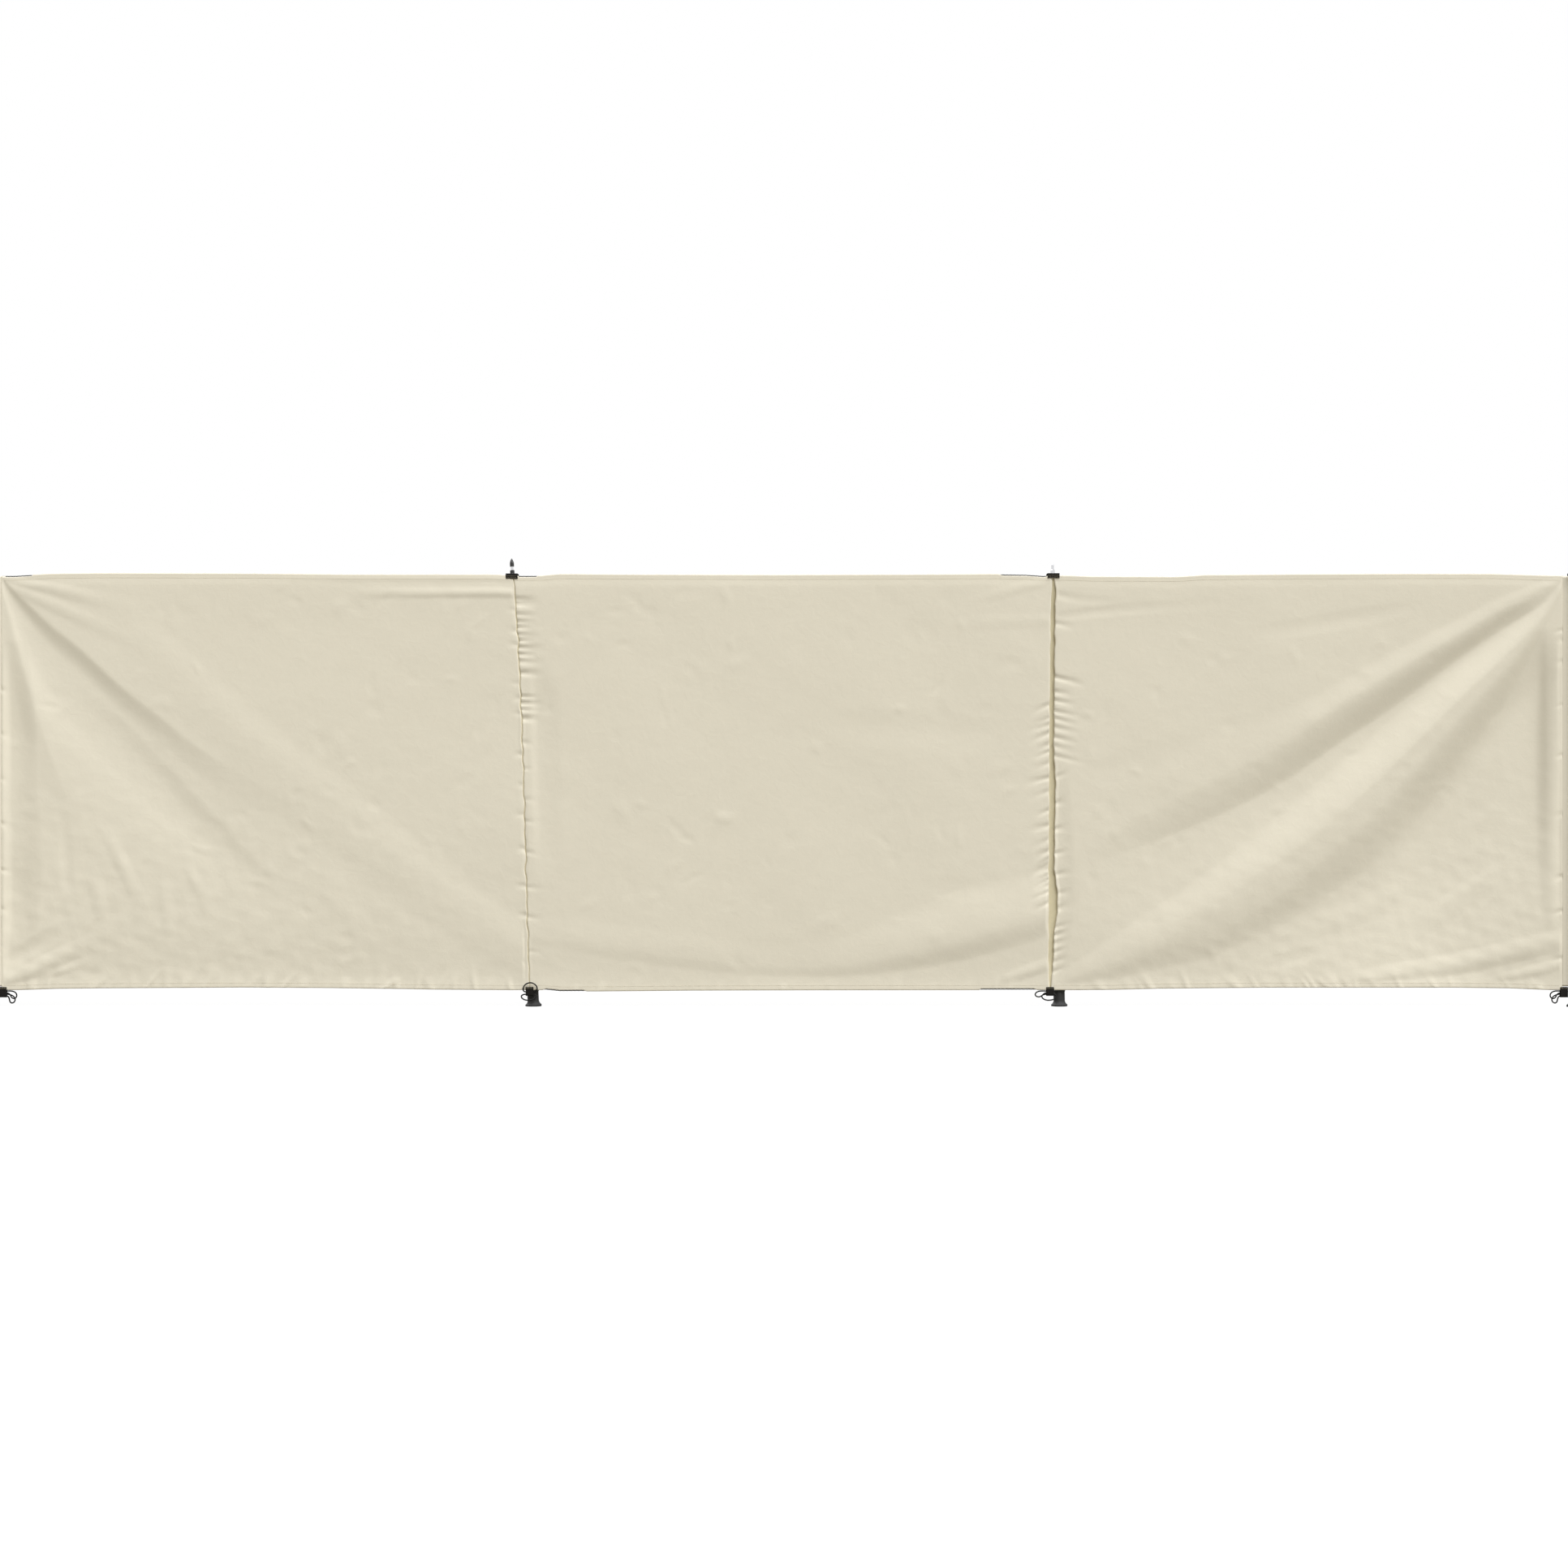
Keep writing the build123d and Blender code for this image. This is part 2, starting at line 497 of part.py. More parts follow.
def build_parts():
    """Every node by name, in the frame of the whole windbreak."""
    parts = {}
    for station in STATIONS:
        frame = stand(station)
        parts[f"pole_{station.name}"] = frame * pole()
        parts[f"pole_plug_{station.name}"] = frame * pole_plug()
        parts[f"spike_{station.name}"] = frame * spike()
        if station is not RIGHT_INNER:
            parts[f"spike_cap_{station.name}"] = frame * spike_cap()
        parts[f"top_tab_{station.name}"] = frame * top_tab(station)
        parts[f"top_eyelet_{station.name}"] = frame * top_eyelet()
        parts[f"sleeve_{station.name}"] = sleeve(station)
        parts[f"foot_{station.name}"] = foot(station)
        parts[f"bottom_tab_{station.name}"] = bottom_tab(station)
        upper, lower = loop_routes(station)
        side = -1 if station is LEFT_END else 1
        for level, route in (("upper", upper), ("lower", lower)):
            name = f"peg_loop_{level}_{station.name}"
            parts[name] = peg_loop(name, station, route, side)
    for bay, left, right, notches in zip(("left", "middle", "right"), STATIONS, STATIONS[1:], bay_notches()):
        parts[f"panel_{bay}"] = panel(left, right, notches)
    parts["top_hem_cords"] = hem_cords(CLOTH_TOP - HEM_BULGE)
    parts["bottom_hem_cords"] = hem_cords(CLOTH_LIFT + HEM_BULGE)
    return parts


os.makedirs("parts", exist_ok=True)
for node, solid in build_parts().items():
    export_step(solid, f"parts/{node}.step")
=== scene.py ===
"""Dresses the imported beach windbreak: folded cloth, sewn sleeves, webbing, elastic loops and fittings."""

import math

import bmesh
import bpy
import numpy as np
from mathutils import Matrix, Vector


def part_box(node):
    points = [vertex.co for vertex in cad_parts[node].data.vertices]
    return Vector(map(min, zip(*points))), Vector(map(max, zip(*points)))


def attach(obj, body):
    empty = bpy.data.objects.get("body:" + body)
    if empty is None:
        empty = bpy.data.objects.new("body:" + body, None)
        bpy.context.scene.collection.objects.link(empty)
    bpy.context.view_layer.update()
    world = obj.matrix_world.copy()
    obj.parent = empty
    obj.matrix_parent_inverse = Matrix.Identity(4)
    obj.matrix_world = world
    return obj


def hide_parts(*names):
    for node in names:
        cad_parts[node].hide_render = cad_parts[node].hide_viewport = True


bl_info = {
    "name": "Beach Windbreak",
    "version": (1, 0, 0),
    "blender": (4, 5, 0),
    "location": "View3D > Sidebar > Windbreak",
    "description": "Builds the cloth, webbing and fittings of a three-bay beach windbreak on its packed frame",
    "category": "Object",
}

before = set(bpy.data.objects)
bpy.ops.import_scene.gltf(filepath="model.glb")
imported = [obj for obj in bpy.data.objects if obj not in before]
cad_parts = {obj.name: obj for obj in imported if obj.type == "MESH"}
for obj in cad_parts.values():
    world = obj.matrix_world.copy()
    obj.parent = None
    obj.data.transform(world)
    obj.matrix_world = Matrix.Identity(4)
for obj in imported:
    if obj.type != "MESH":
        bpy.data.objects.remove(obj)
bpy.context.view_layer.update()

BODY = "root"
MM = 0.001

# The fold drawing: one unit is 2.348 mm, across from the left and down to the ground line
DRAWING_UNIT = 2.348 * MM
DRAWING_LEFT = -14.0
DRAWING_GROUND = 1240.5
DRAWING_SIZE = 1932

# The camera: the width of its sensor in millimetres, and how far before the cloth it stands in metres
SENSOR_WIDTH = 36.0
CAMERA_AWAY = 8.0

# Cloth edges and the hem
CLOTH_LOW = 48.0 * MM
CLOTH_TOP = 1248.0 * MM
HEM_DEPTH = 16.0 * MM
HEM_TAIL = 4.0 * MM
HEM_ROLL = 2.8 * MM
HEM_CORD_RADIUS = 1.5 * MM
HEM_GAP = 0.9 * MM
TAIL_GAP = 0.8 * MM

# Where the poles and seams stand, in millimetres: seam low and top, pole low and top, set-back, gap between the
# panels, bow and wiggle of the seam, scallops and turn of the panels beside it, depth of the groove, middle of the tab
SEAMS = {
    "left_end": {"low": 36.0, "top": 36.0, "pole": (0.0, 0.0), "back": 0.0, "gap": 0.0, "bow": 0.0, "wiggle": 0.0,
                 "scallop": 0.0, "turn": 2.6, "groove": 0.0, "tab": 41.0},
    "left_inner": {"low": 1565.0, "top": 1518.0, "pole": (1574.0, 1513.0), "back": 26.0, "gap": 2.2, "bow": 7.0,
                   "wiggle": 0.9, "scallop": 0.5, "turn": 3.2, "groove": 3.6, "tab": 1565.0},
    "right_inner": {"low": 3071.0, "top": 3080.0, "pole": (3100.0, 3081.0), "back": 26.0, "gap": 10.0, "bow": -2.0,
                    "wiggle": 0.35, "scallop": 1.6, "turn": 4.0, "groove": 9.6, "tab": 3071.0},
    "right_end": {"low": 4553.0, "top": 4553.0, "pole": (4589.0, 4589.0), "back": 0.0, "gap": 0.0, "bow": 0.0,
                  "wiggle": 0.0, "scallop": 0.0, "turn": 1.4, "groove": 0.0, "tab": 4558.0},
}
# The sleeves' cloth: how wide their pattern is drawn, the painted shade on the strip that lies in a seam's groove (a
# darker, yellower colour standing in for the groove's shadow), the lower and upper end in millimetres, the turned-in
# ends, the steps round the pole, and the mesh
SLEEVE_ARC = 0.12
GROOVE_PAINTED_SHADE = (0.86, 0.825, 0.68)
END_SLEEVE = (59.0, 1246.0)
INNER_SLEEVE = (71.0, 1225.0)
SLEEVE_TURNED = 11.0 * MM
SLEEVE_TURNS = 9
SLEEVE_COLUMNS = 100
SLEEVE_ROWS = 236
# How far the right panel stands off the right inner seam, in millimetres, by places down the drawing
OPENING = ((700, 0.0), (712, 6.0), (726, 9.0), (744, 2.0), (930, 2.0), (965, 8.0), (1000, 6.5), (1070, 4.5),
           (1095, 13.0), (1125, 15.0), (1148, 5.0), (1195, 3.0), (1215, 0.0))
STATIONS = tuple(SEAMS)
BAYS = {
    "left": ("left_end", "left_inner"),
    "middle": ("left_inner", "right_inner"),
    "right": ("right_inner", "right_end"),
}

# Bare stretches of the hem cords, as the places where the hem is cut back, by bay: from, to in millimetres. The cut
# runs out over its rim, and the roll of the lower hem lies flatter there
TOP_NOTCHES = {"left": ((36.0, 128.0),), "middle": ((1530.5, 1588.5), (2925.5, 3063.5)), "right": ()}
LOW_NOTCHES = {"left": (), "middle": ((1605.0, 1727.0), (2867.0, 3031.0)), "right": ()}
NOTCH_DEPTH = 4.5 * MM
NOTCH_RIM = 5.0 * MM
NOTCH_ROLL = 0.6

# Folds of each bay on the drawing. A fold runs across ("x", or "crisp" with a steep upper side) or down ("y"), and a
# higher second number makes it narrower at its height. Each row is: place along, centre, spread before, spread after
# (in drawing units) and rise in millimetres
FOLDS = {
    "left": (
        ("x", 1.4, ((-4, 704, 3, 6, 0), (12, 733, 11, 28, -2.8), (30, 760, 20, 70, -5.2), (60, 796, 28, 130, -7.0),
                    (100, 832, 32, 190, -7.4), (150, 880, 34, 215, -6.8), (200, 921, 36, 210, -5.6),
                    (240, 955, 38, 190, -4.2), (300, 1000, 44, 160, -2.4), (400, 1060, 44, 120, 0))),
        ("x", 1.8, ((70, 850, 26, 40, 0), (137, 905, 32, 56, -1.6), (190, 958, 34, 56, -2.4), (230, 1000, 34, 54, -2.7),
                    (270, 1040, 32, 50, -2.2), (310, 1080, 28, 44, -1.2), (350, 1118, 26, 40, 0))),
        ("x", 2.0, ((8, 770, 24, 40, 0), (30, 838, 46, 70, 1.5), (62, 900, 52, 90, 2.0), (104, 954, 54, 100, 2.2),
                    (146, 1002, 54, 100, 2.0), (208, 1056, 48, 90, 1.7), (283, 1124, 40, 70, 0))),
        ("x", 1.6, ((4, 712, 4, 4, 0), (30, 719, 6, 7, 1.0), (80, 731, 9, 9, 1.3), (130, 742, 10, 11, 0.5),
                    (190, 754, 10, 12, 0))),
        ("x", 1.6, ((6, 720, 4, 5, 0), (40, 736, 8, 9, 1.1), (90, 757, 11, 12, 1.1), (130, 774, 12, 13, 0.5),
                    (190, 800, 12, 13, 0))),
        ("x", 2.0, ((130, 752, 40, 50, 0), (200, 812, 44, 60, 1.3), (330, 930, 48, 66, 1.8), (470, 1042, 48, 66, 2.2),
                    (645, 1176, 42, 50, 2.0))),
        ("x", 1.5, ((425, 732, 9, 8, 0), (480, 732, 8, 7, 1.1), (560, 732, 8, 6, 1.9), (650, 731, 7, 6, 2.1))),
        ("x", 1.6, ((320, 714, 5, 6, 0), (420, 714, 5, 6, 0.7), (650, 714, 5, 5, 1.1))),
        ("x", 1.6, ((-2, 1212, 8, 4, 0), (25, 1203, 14, 9, 2.4), (60, 1188, 16, 13, 3.0), (95, 1170, 15, 14, 1.5),
                    (125, 1160, 14, 14, 0))),
        ("x", 1.6, ((-2, 1192, 12, 12, 0), (25, 1176, 14, 14, -2.0), (60, 1156, 14, 14, -1.4), (90, 1146, 14, 12, 0))),
        ("x", 1.6, ((40, 1206, 6, 5, 0), (75, 1198, 8, 6, 1.2), (110, 1186, 9, 7, 0))),
        ("y", 2.0, ((1010, 122, 11, 13, 0), (1045, 140, 12, 13, 1.1), (1085, 160, 13, 14, 1.2),
                    (1130, 182, 13, 13, 0))),
        ("y", 2.0, ((1070, 112, 10, 11, 0), (1105, 120, 11, 12, 1.0), (1160, 133, 11, 12, 0))),
        ("y", 2.0, ((1085, 200, 10, 11, 0), (1125, 206, 11, 12, 1.1), (1170, 212, 11, 12, 0))),
        ("y", 2.0, ((1060, 225, 10, 12, 0), (1095, 245, 11, 13, 1.0), (1140, 262, 11, 13, 0))),
        ("y", 2.0, ((1000, 77, 10, 11, 0), (1050, 81, 10, 11, -1.2), (1110, 84, 10, 11, 0))),
        ("y", 1.7, ((790, 14, 10, 20, 0), (840, 12, 9, 28, -6.5), (900, 12, 9, 34, -10.0), (970, 13, 10, 34, -6.5),
                    (1040, 15, 11, 38, -6.5), (1100, 14, 10, 38, -10.0), (1160, 12, 9, 30, -7.0), (1208, 8, 6, 12, 0))),
        ("y", 2.0, ((1060, 400, 22, 26, 0), (1110, 415, 24, 28, 1.1), (1160, 450, 24, 28, 0))),
    ),
    "middle": (
        ("x", 1.7, ((640, 1148, 24, 14, 0.5), (760, 1166, 30, 17, 1.1), (870, 1182, 30, 15, 1.3),
                    (960, 1190, 28, 13, 1.0), (1040, 1188, 36, 16, 1.9), (1120, 1171, 50, 25, 4.2),
                    (1200, 1151, 62, 31, 5.8), (1270, 1131, 52, 31, 5.2), (1300, 1123, 42, 28, 4.4))),
        ("x", 1.8, ((1225, 1212, 8, 5, 0), (1250, 1203, 10, 9, 1.5), (1300, 1185, 11, 10, 1.8))),
        ("x", 2.0, ((1000, 890, 18, 22, 0), (1080, 895, 24, 28, -0.6), (1180, 903, 26, 30, -0.7),
                    (1250, 908, 18, 22, 0))),
        ("y", 2.0, ((820, 660, 9, 22, 0), (870, 663, 11, 30, -2.4), (950, 664, 11, 30, -2.2), (1020, 667, 12, 30, -2.2),
                    (1090, 668, 11, 26, 0))),
        ("x", 1.6, ((1190, 742, 7, 8, 0), (1240, 730, 8, 9, 0.6), (1300, 712, 7, 8, 1.0))),
        ("x", 1.6, ((1170, 768, 9, 10, 0), (1230, 766, 10, 11, 0.5), (1300, 764, 9, 10, 0.6))),
        ("x", 2.0, ((1120, 1092, 16, 18, 0), (1180, 1096, 20, 20, -0.7), (1240, 1094, 16, 16, 0))),
        ("x", 2.0, ((700, 800, 80, 90, 0), (900, 780, 90, 110, 1.2), (1150, 800, 90, 110, 1.0),
                    (1280, 820, 80, 90, 0))),
    ),
    "right": (
        ("crisp", 1.45, ((1931, 707, 3, 3, 0), (1900, 746, 14, 16, -3.6), (1850, 777, 26, 36, -8),
                         (1800, 812, 34, 48, -11.4), (1750, 850, 43, 60, -13.4), (1700, 886, 49, 74, -14.2),
                         (1650, 918, 51, 86, -13), (1600, 954, 51, 90, -12), (1550, 983, 50, 96, -10.8),
                         (1500, 1007, 50, 104, -9.2), (1450, 1028, 46, 108, -7.2), (1400, 1046, 40, 100, -4),
                         (1330, 1072, 30, 86, 0))),
        ("x", 2.0, ((1930, 708, 3, 4, 0), (1900, 725, 9, 10, 1.0), (1850, 752, 18, 20, 2.5), (1800, 783, 24, 26, 3.6),
                    (1750, 811, 28, 34, 4.2), (1700, 843, 34, 40, 4.6), (1650, 874, 36, 46, 4.6),
                    (1600, 903, 40, 50, 3.4), (1550, 928, 44, 56, 2.0), (1500, 955, 50, 60, 1.0),
                    (1430, 985, 50, 60, 0))),
        ("x", 1.6, ((1931, 711, 5, 7, 0), (1900, 756, 16, 28, 3.6), (1850, 812, 34, 66, 6.8), (1800, 862, 47, 84, 7.6),
                    (1750, 912, 58, 98, 8.2), (1700, 962, 64, 100, 8.4), (1650, 1006, 66, 92, 8.6),
                    (1600, 1048, 66, 82, 8.4), (1550, 1086, 62, 70, 8), (1500, 1122, 60, 57, 7.4),
                    (1450, 1150, 50, 42, 6.6), (1400, 1172, 40, 31, 5.2), (1350, 1193, 26, 17, 3),
                    (1300, 1212, 8, 5, 0))),
        ("x", 1.8, ((1919, 838, 66, 220, 0), (1908, 848, 76, 250, -8), (1892, 860, 84, 280, -19),
                    (1850, 904, 78, 300, -22), (1800, 975, 96, 270, -24), (1750, 1036, 100, 200, -23.5),
                    (1700, 1086, 94, 140, -15.5), (1650, 1112, 74, 100, -10), (1600, 1136, 54, 70, -6.6),
                    (1550, 1158, 40, 46, -3.2), (1500, 1182, 30, 26, 0))),
        ("x", 1.7, ((1740, 1140, 14, 22, 0), (1775, 1122, 16, 24, 1.6), (1820, 1092, 16, 24, 1.8),
                    (1870, 1060, 14, 20, 0))),
        ("x", 1.6, ((1640, 1211, 8, 4, 0), (1700, 1205, 14, 8, 1.8), (1800, 1190, 18, 14, 3.0),
                    (1880, 1170, 17, 15, 2.6),
                    (1928, 1156, 14, 14, 0.8))),
        ("x", 1.6, ((1830, 1212, 7, 4, 0), (1880, 1200, 9, 8, 1.6), (1928, 1186, 9, 9, 1.0))),
        ("x", 1.7, ((1296, 761, 8, 8, -0.8), (1360, 752, 8, 9, -0.8), (1430, 747, 9, 10, -0.5), (1530, 742, 9, 10, 0))),
        ("x", 1.6, ((1296, 731, 6, 6, -1.2), (1330, 738, 7, 7, -0.7), (1390, 741, 7, 7, 0))),
        ("x", 1.8, ((1530, 784, 12, 13, 0), (1600, 773, 13, 14, -0.7), (1680, 760, 12, 13, -0.8),
                    (1760, 746, 10, 11, 0))),
        ("y", 2.0, ((770, 1922, 10, 5, 0), (860, 1912, 16, 10, 2.5), (980, 1911, 18, 12, 3.2),
                    (1100, 1912, 16, 12, 2.2),
                    (1150, 1914, 12, 8, 0))),
        ("y", 1.8, ((920, 1301, 6, 14, 0), (990, 1301, 6, 20, -2.4), (1100, 1304, 7, 22, -2.8),
                    (1170, 1300, 6, 18, -2.4),
                    (1210, 1298, 4, 8, 0))),
        ("x", 2.0, ((1540, 1196, 12, 10, 0), (1590, 1184, 14, 12, -1.2), (1640, 1172, 13, 11, 0))),
        ("x", 2.0, ((1590, 1150, 16, 18, 0), (1660, 1128, 20, 20, 1.4), (1730, 1100, 18, 18, 0))),
        ("x", 2.0, ((1340, 955, 26, 30, 0), (1420, 935, 28, 32, -0.8), (1500, 905, 26, 30, 0))),
    ),
}

# The rounding of a crisp fold's bottom and the power of its steep side
CRISP_ROUNDING = 0.006
CRISP_POWER = 1.5

# Puckers drawn in by the seams: seam, side of it, places down the drawing, length on the drawing, depth and slant
PUCKERS = (
    ("left_inner", 1, (738, 744, 757, 766, 773, 782, 789, 798, 806, 815, 829, 858, 866, 874, 885), 29, 1.5, 0.05),
    ("left_inner", 1, (915, 947, 985, 1012, 1050, 1093, 1130, 1172), 18, 0.8, 0.1),
    ("left_inner", -1, (752, 778, 795, 842, 861, 880, 930, 968, 1004, 1046, 1092, 1128), 14, 0.8, -0.1),
    ("right_inner", -1, (868, 884, 893, 903, 917, 926, 940, 958, 975, 998, 1017, 1034, 1048), 26, 1.1, 0.35),
    ("right_inner", -1, (1058, 1064, 1070, 1077, 1083, 1090, 1098, 1112), 24, 1.5, 0.55),
    ("right_inner", 1, (768, 834, 852, 863, 876, 885, 896, 908, 919, 931), 36, 1.3, 0.2),
    ("right_inner", 1, (958, 990, 1022, 1052, 1078, 1101, 1120, 1143, 1153, 1163, 1174, 1186, 1198), 20, 1.2, -0.3),
    ("left_end", 1, (850, 905, 960, 1015, 1072, 1120), 12, 0.8, 0.2),
    ("right_end", -1, (776, 788, 815, 868, 930, 1003, 1080, 1122, 1180), 12, 0.9, 0.3),
)
PUCKER_SPREAD = 3.3
PUCKER_DEPTH = 3.0
FADE_POWER = 1.3

# How far the cloth's edges rise or sag between the poles: place across the drawing, rise on the drawing; and the
# heights from which the drift grows towards each edge
EDGE_DRIFT = {
    "top": ((18, 0), (60, 2.4), (120, 3.2), (310, 2.8), (430, 1.6), (590, 1.6), (612, 1.4), (632, 0), (668, 0),
            (690, 2.0), (790, 1.5), (950, 1.0), (1100, 1.5), (1220, 2.0), (1264, 1.4), (1284, 0), (1318, 0),
            (1345, -1.0), (1450, -1.4), (1485, 0.8), (1600, 1.8), (1740, 2.4), (1840, 2.2), (1912, 0)),
    "low": ((22, 0), (70, 1.6), (120, 2.2), (300, 3.2), (400, 2.6), (480, 1.6), (540, 0.6), (620, 0), (672, 0),
            (690, -1.8), (750, -1.5), (850, -0.6), (1000, -0.2), (1240, 0), (1330, 0), (1370, 0.3), (1430, 1.8),
            (1560, 3.0), (1790, 3.0), (1860, 2.2), (1910, 0)),
}
DRIFT_TOP = 1.05
DRIFT_LOW = 0.22
# Small gathers along the lower hem of a bay: first and last place on the drawing, spacing, height, depth and lean
GATHERS = {"left": (22, 636, 17, 15, 1.5, 1), "middle": (690, 1285, 29, 10, 0.9, 0.5),
           "right": (1330, 1905, 21, 13, 1.2, -1)}
GATHER_FOOT = 1217
GATHER_HEIGHT = 1.9

# Ripples all over the cloth, and those of its slack parts: seed, wavelength in metres, rise in millimetres
BROAD_RIPPLES = ((11, 0.46, 0.38), (12, 0.15, 0.10))
SLACK_RIPPLES = ((14, 0.07, 0.34), (15, 0.032, 0.17))
# Where the cloth is slack: the place down the drawing where it starts and over which run it grows, the same to both
# sides of the middle, and the least and the most of it
SLACK_TOP = 880
SLACK_DOWN = 320
SLACK_MIDDLE = 960
SLACK_OUT = 900
SLACK_START = 0.2
LEAST_SLACK = 0.12
MOST_SLACK = 0.75
# Bands along the hems that stand forward or lie back: height, reach below and above, rise in millimetres
HEM_BANDS = ((1.212, 0.12, 0.03, 1.0), (0.092, 0.06, 0.12, -1.5))
# Over which distance from the hems and seams the relief grows, and what share of it is left at an edge
HEM_CALM = 45.0 * MM
SEAM_CALM = 9.0 * MM
TOP_CALM = 30.0 * MM
LOW_CALM = 20.0 * MM
LOW_SHARE = 0.2
TOP_SHARE = 0.35

# Short creases: the seed and the reach across of each bay, how many, and between which places on the drawing
CREASE_SEEDS = {"left": 31, "middle": 32, "right": 33}
BAY_REACH = {"left": (0.06, 1.5), "middle": (1.6, 3.04), "right": (3.12, 4.52)}
CREASE_COUNT = 75
CREASE_TOP = 722
CREASE_LOW = 1205

# The webbing tabs, in millimetres: half their thickness with the thread on it, and how far the thread stands out
TAB_HALF = 1.1
THREAD_OUT = 1.15

# Peg loops, as points from the tab's middle at the cloth's lower edge
END_UPPER_LOOP = ((-4, 2.95, -2.8), (-14, 2.9, -2.6), (-25, 1.5, -2.4), (-35, -2, -4.5), (-42, -5, -11),
                  (-42, -7, -19.5), (-35, -7.5, -24.5), (-27, -6.5, -21), (-23, -3.5, -14), (-16, 1.5, -8),
                  (-4, 2.95, -7.2))
END_LOWER_LOOP = ((-4, 2.95, -11.6), (-14, 3.2, -11.8), (-23.5, 4.5, -14), (-31.5, 5.5, -19.5), (-35, 5, -27.5),
                  (-32, 4, -35), (-25.5, 3.2, -38), (-20, 3, -34.5), (-18.5, 3.2, -27.5), (-16.5, 3, -20.5),
                  (-12, 2.95, -16.4), (-4, 2.95, -15.9))
INNER_UPPER_LOOP = ((-4, 2.95, -2.8), (-14, 2.9, -2.6), (-24, 0, -2.3), (-33.5, -3.5, -2.6), (-41.5, -5, -6.5),
                    (-44.5, -6, -12.5), (-40.5, -6.5, -17.7), (-32.5, -6.5, -19.2), (-25, -5.5, -16.2),
                    (-19, -2.5, -10.6), (-13.5, 2.6, -7.5), (-4, 2.95, -7.2))
INNER_LOWER_LOOP = ((4, 2.95, -11.6), (12.5, 2.95, -11.9), (18.5, 2.4, -15.5), (18, 1.4, -21.5), (11.5, 0.6, -26.3),
                    (2.5, 0, -28.7), (-7.5, -0.3, -29.2), (-16.5, 0, -27.2), (-23, 0.8, -22.5), (-24.5, 1.8, -17),
                    (-20.5, 2.7, -13.4), (-12.5, 2.95, -11.9), (-4, 2.95, -11.6))
FRONT_LOOP = ((4, 2.95, -5.5), (13.5, 2.9, -5.3), (20, -0.5, -2), (23, -5.5, 5), (20, -7.5, 14), (12, -8, 20.5),
              (2, -8, 22.5), (-8, -8, 20), (-15.5, -7.5, 13), (-18.5, -5.5, 5), (-18, -0.5, -2), (-13.5, 2.9, -5.3),
              (-4, 2.95, -5.5))

# Each station's two loops: upper and lower route with its length
END_LOOPS = ((END_UPPER_LOOP, 96.5 * MM), (END_LOWER_LOOP, 86.5 * MM))
LOOPS = {
    "left_end": END_LOOPS,
    "left_inner": ((FRONT_LOOP, 108.3 * MM), (INNER_LOWER_LOOP, 92.1 * MM)),
    "right_inner": ((INNER_UPPER_LOOP, 93.5 * MM), (INNER_LOWER_LOOP, 92.1 * MM)),
    "right_end": END_LOOPS,
}


# Properties

class WindbreakSettings(bpy.types.PropertyGroup):
    """Sizes and colours of the windbreak that a user would change."""

    cloth_colour: bpy.props.FloatVectorProperty(
        name="Cloth", description="Colour of the cream cloth", subtype="COLOR", size=3, min=0.0, max=1.0,
        default=(0.69, 0.645, 0.532))
    webbing_colour: bpy.props.FloatVectorProperty(
        name="Webbing", description="Colour of the woven tabs", subtype="COLOR", size=3, min=0.0, max=1.0,
        default=(0.008, 0.007, 0.006))
    thread_colour: bpy.props.FloatVectorProperty(
        name="Thread", description="Colour of the hem thread", subtype="COLOR", size=3, min=0.0, max=1.0,
        default=(0.60, 0.55, 0.42))
    cord_colour: bpy.props.FloatVectorProperty(
        name="Hem cord", description="Colour of the cord in the hems", subtype="COLOR", size=3, min=0.0, max=1.0,
        default=(0.03, 0.027, 0.02))
    fold_depth: bpy.props.FloatProperty(
        name="Fold depth", description="How deep the drawn folds are, as a share of their drawing",
        subtype="FACTOR", default=1.22, min=0.0, max=2.0)
    cloth_step: bpy.props.FloatProperty(
        name="Cloth step", description="Spacing of the cloth's mesh", unit="LENGTH", default=5.4 * MM, min=MM)
    elastic_diameter: bpy.props.FloatProperty(
        name="Elastic", description="Diameter of the peg loops", unit="LENGTH", default=4.0 * MM, min=MM)
    webbing_thickness: bpy.props.FloatProperty(
        name="Webbing thickness", description="Thickness of the tabs", unit="LENGTH", default=2.0 * MM, min=0.5 * MM)
    sleeve_radius: bpy.props.FloatProperty(
        name="Sleeve radius", description="Radius of the cloth round a pole", unit="LENGTH", default=14.4 * MM, min=MM)
    stitch_length: bpy.props.FloatProperty(
        name="Stitch", description="Length of one stitch", unit="LENGTH", default=4.2 * MM, min=MM)
    key_strength: bpy.props.FloatProperty(
        name="Overhead light", description="Strength of the soft light from above", default=4.6, min=0.0)
    key_softness: bpy.props.FloatProperty(
        name="Light softness", description="How wide the soft light is", subtype="ANGLE", default=math.radians(50.0))
    ambient: bpy.props.FloatProperty(
        name="Ambient light", description="Strength of the light from all round", default=0.235, min=0.0)
    rear_strength: bpy.props.FloatProperty(
        name="Rear light", description="Strength of the soft light from behind", default=2.6, min=0.0)


# Drawing and cloth helpers

def drawn_x(place):
    """Metres across, from a place on the fold drawing."""
    return (place - DRAWING_LEFT) * DRAWING_UNIT


def drawn_z(place):
    """Metres up, from a place on the fold drawing."""
    return (DRAWING_GROUND - place) * DRAWING_UNIT


def across_drawing(x):
    """A place across the fold drawing, from metres."""
    return x / DRAWING_UNIT + DRAWING_LEFT


def down_drawing(z):
    """A place down the fold drawing, from metres up."""
    return DRAWING_GROUND - np.asarray(z) / DRAWING_UNIT


def smooth(share):
    """A share from 0 to 1 that starts and ends gently."""
    return share ** 2 * (3 - 2 * share)


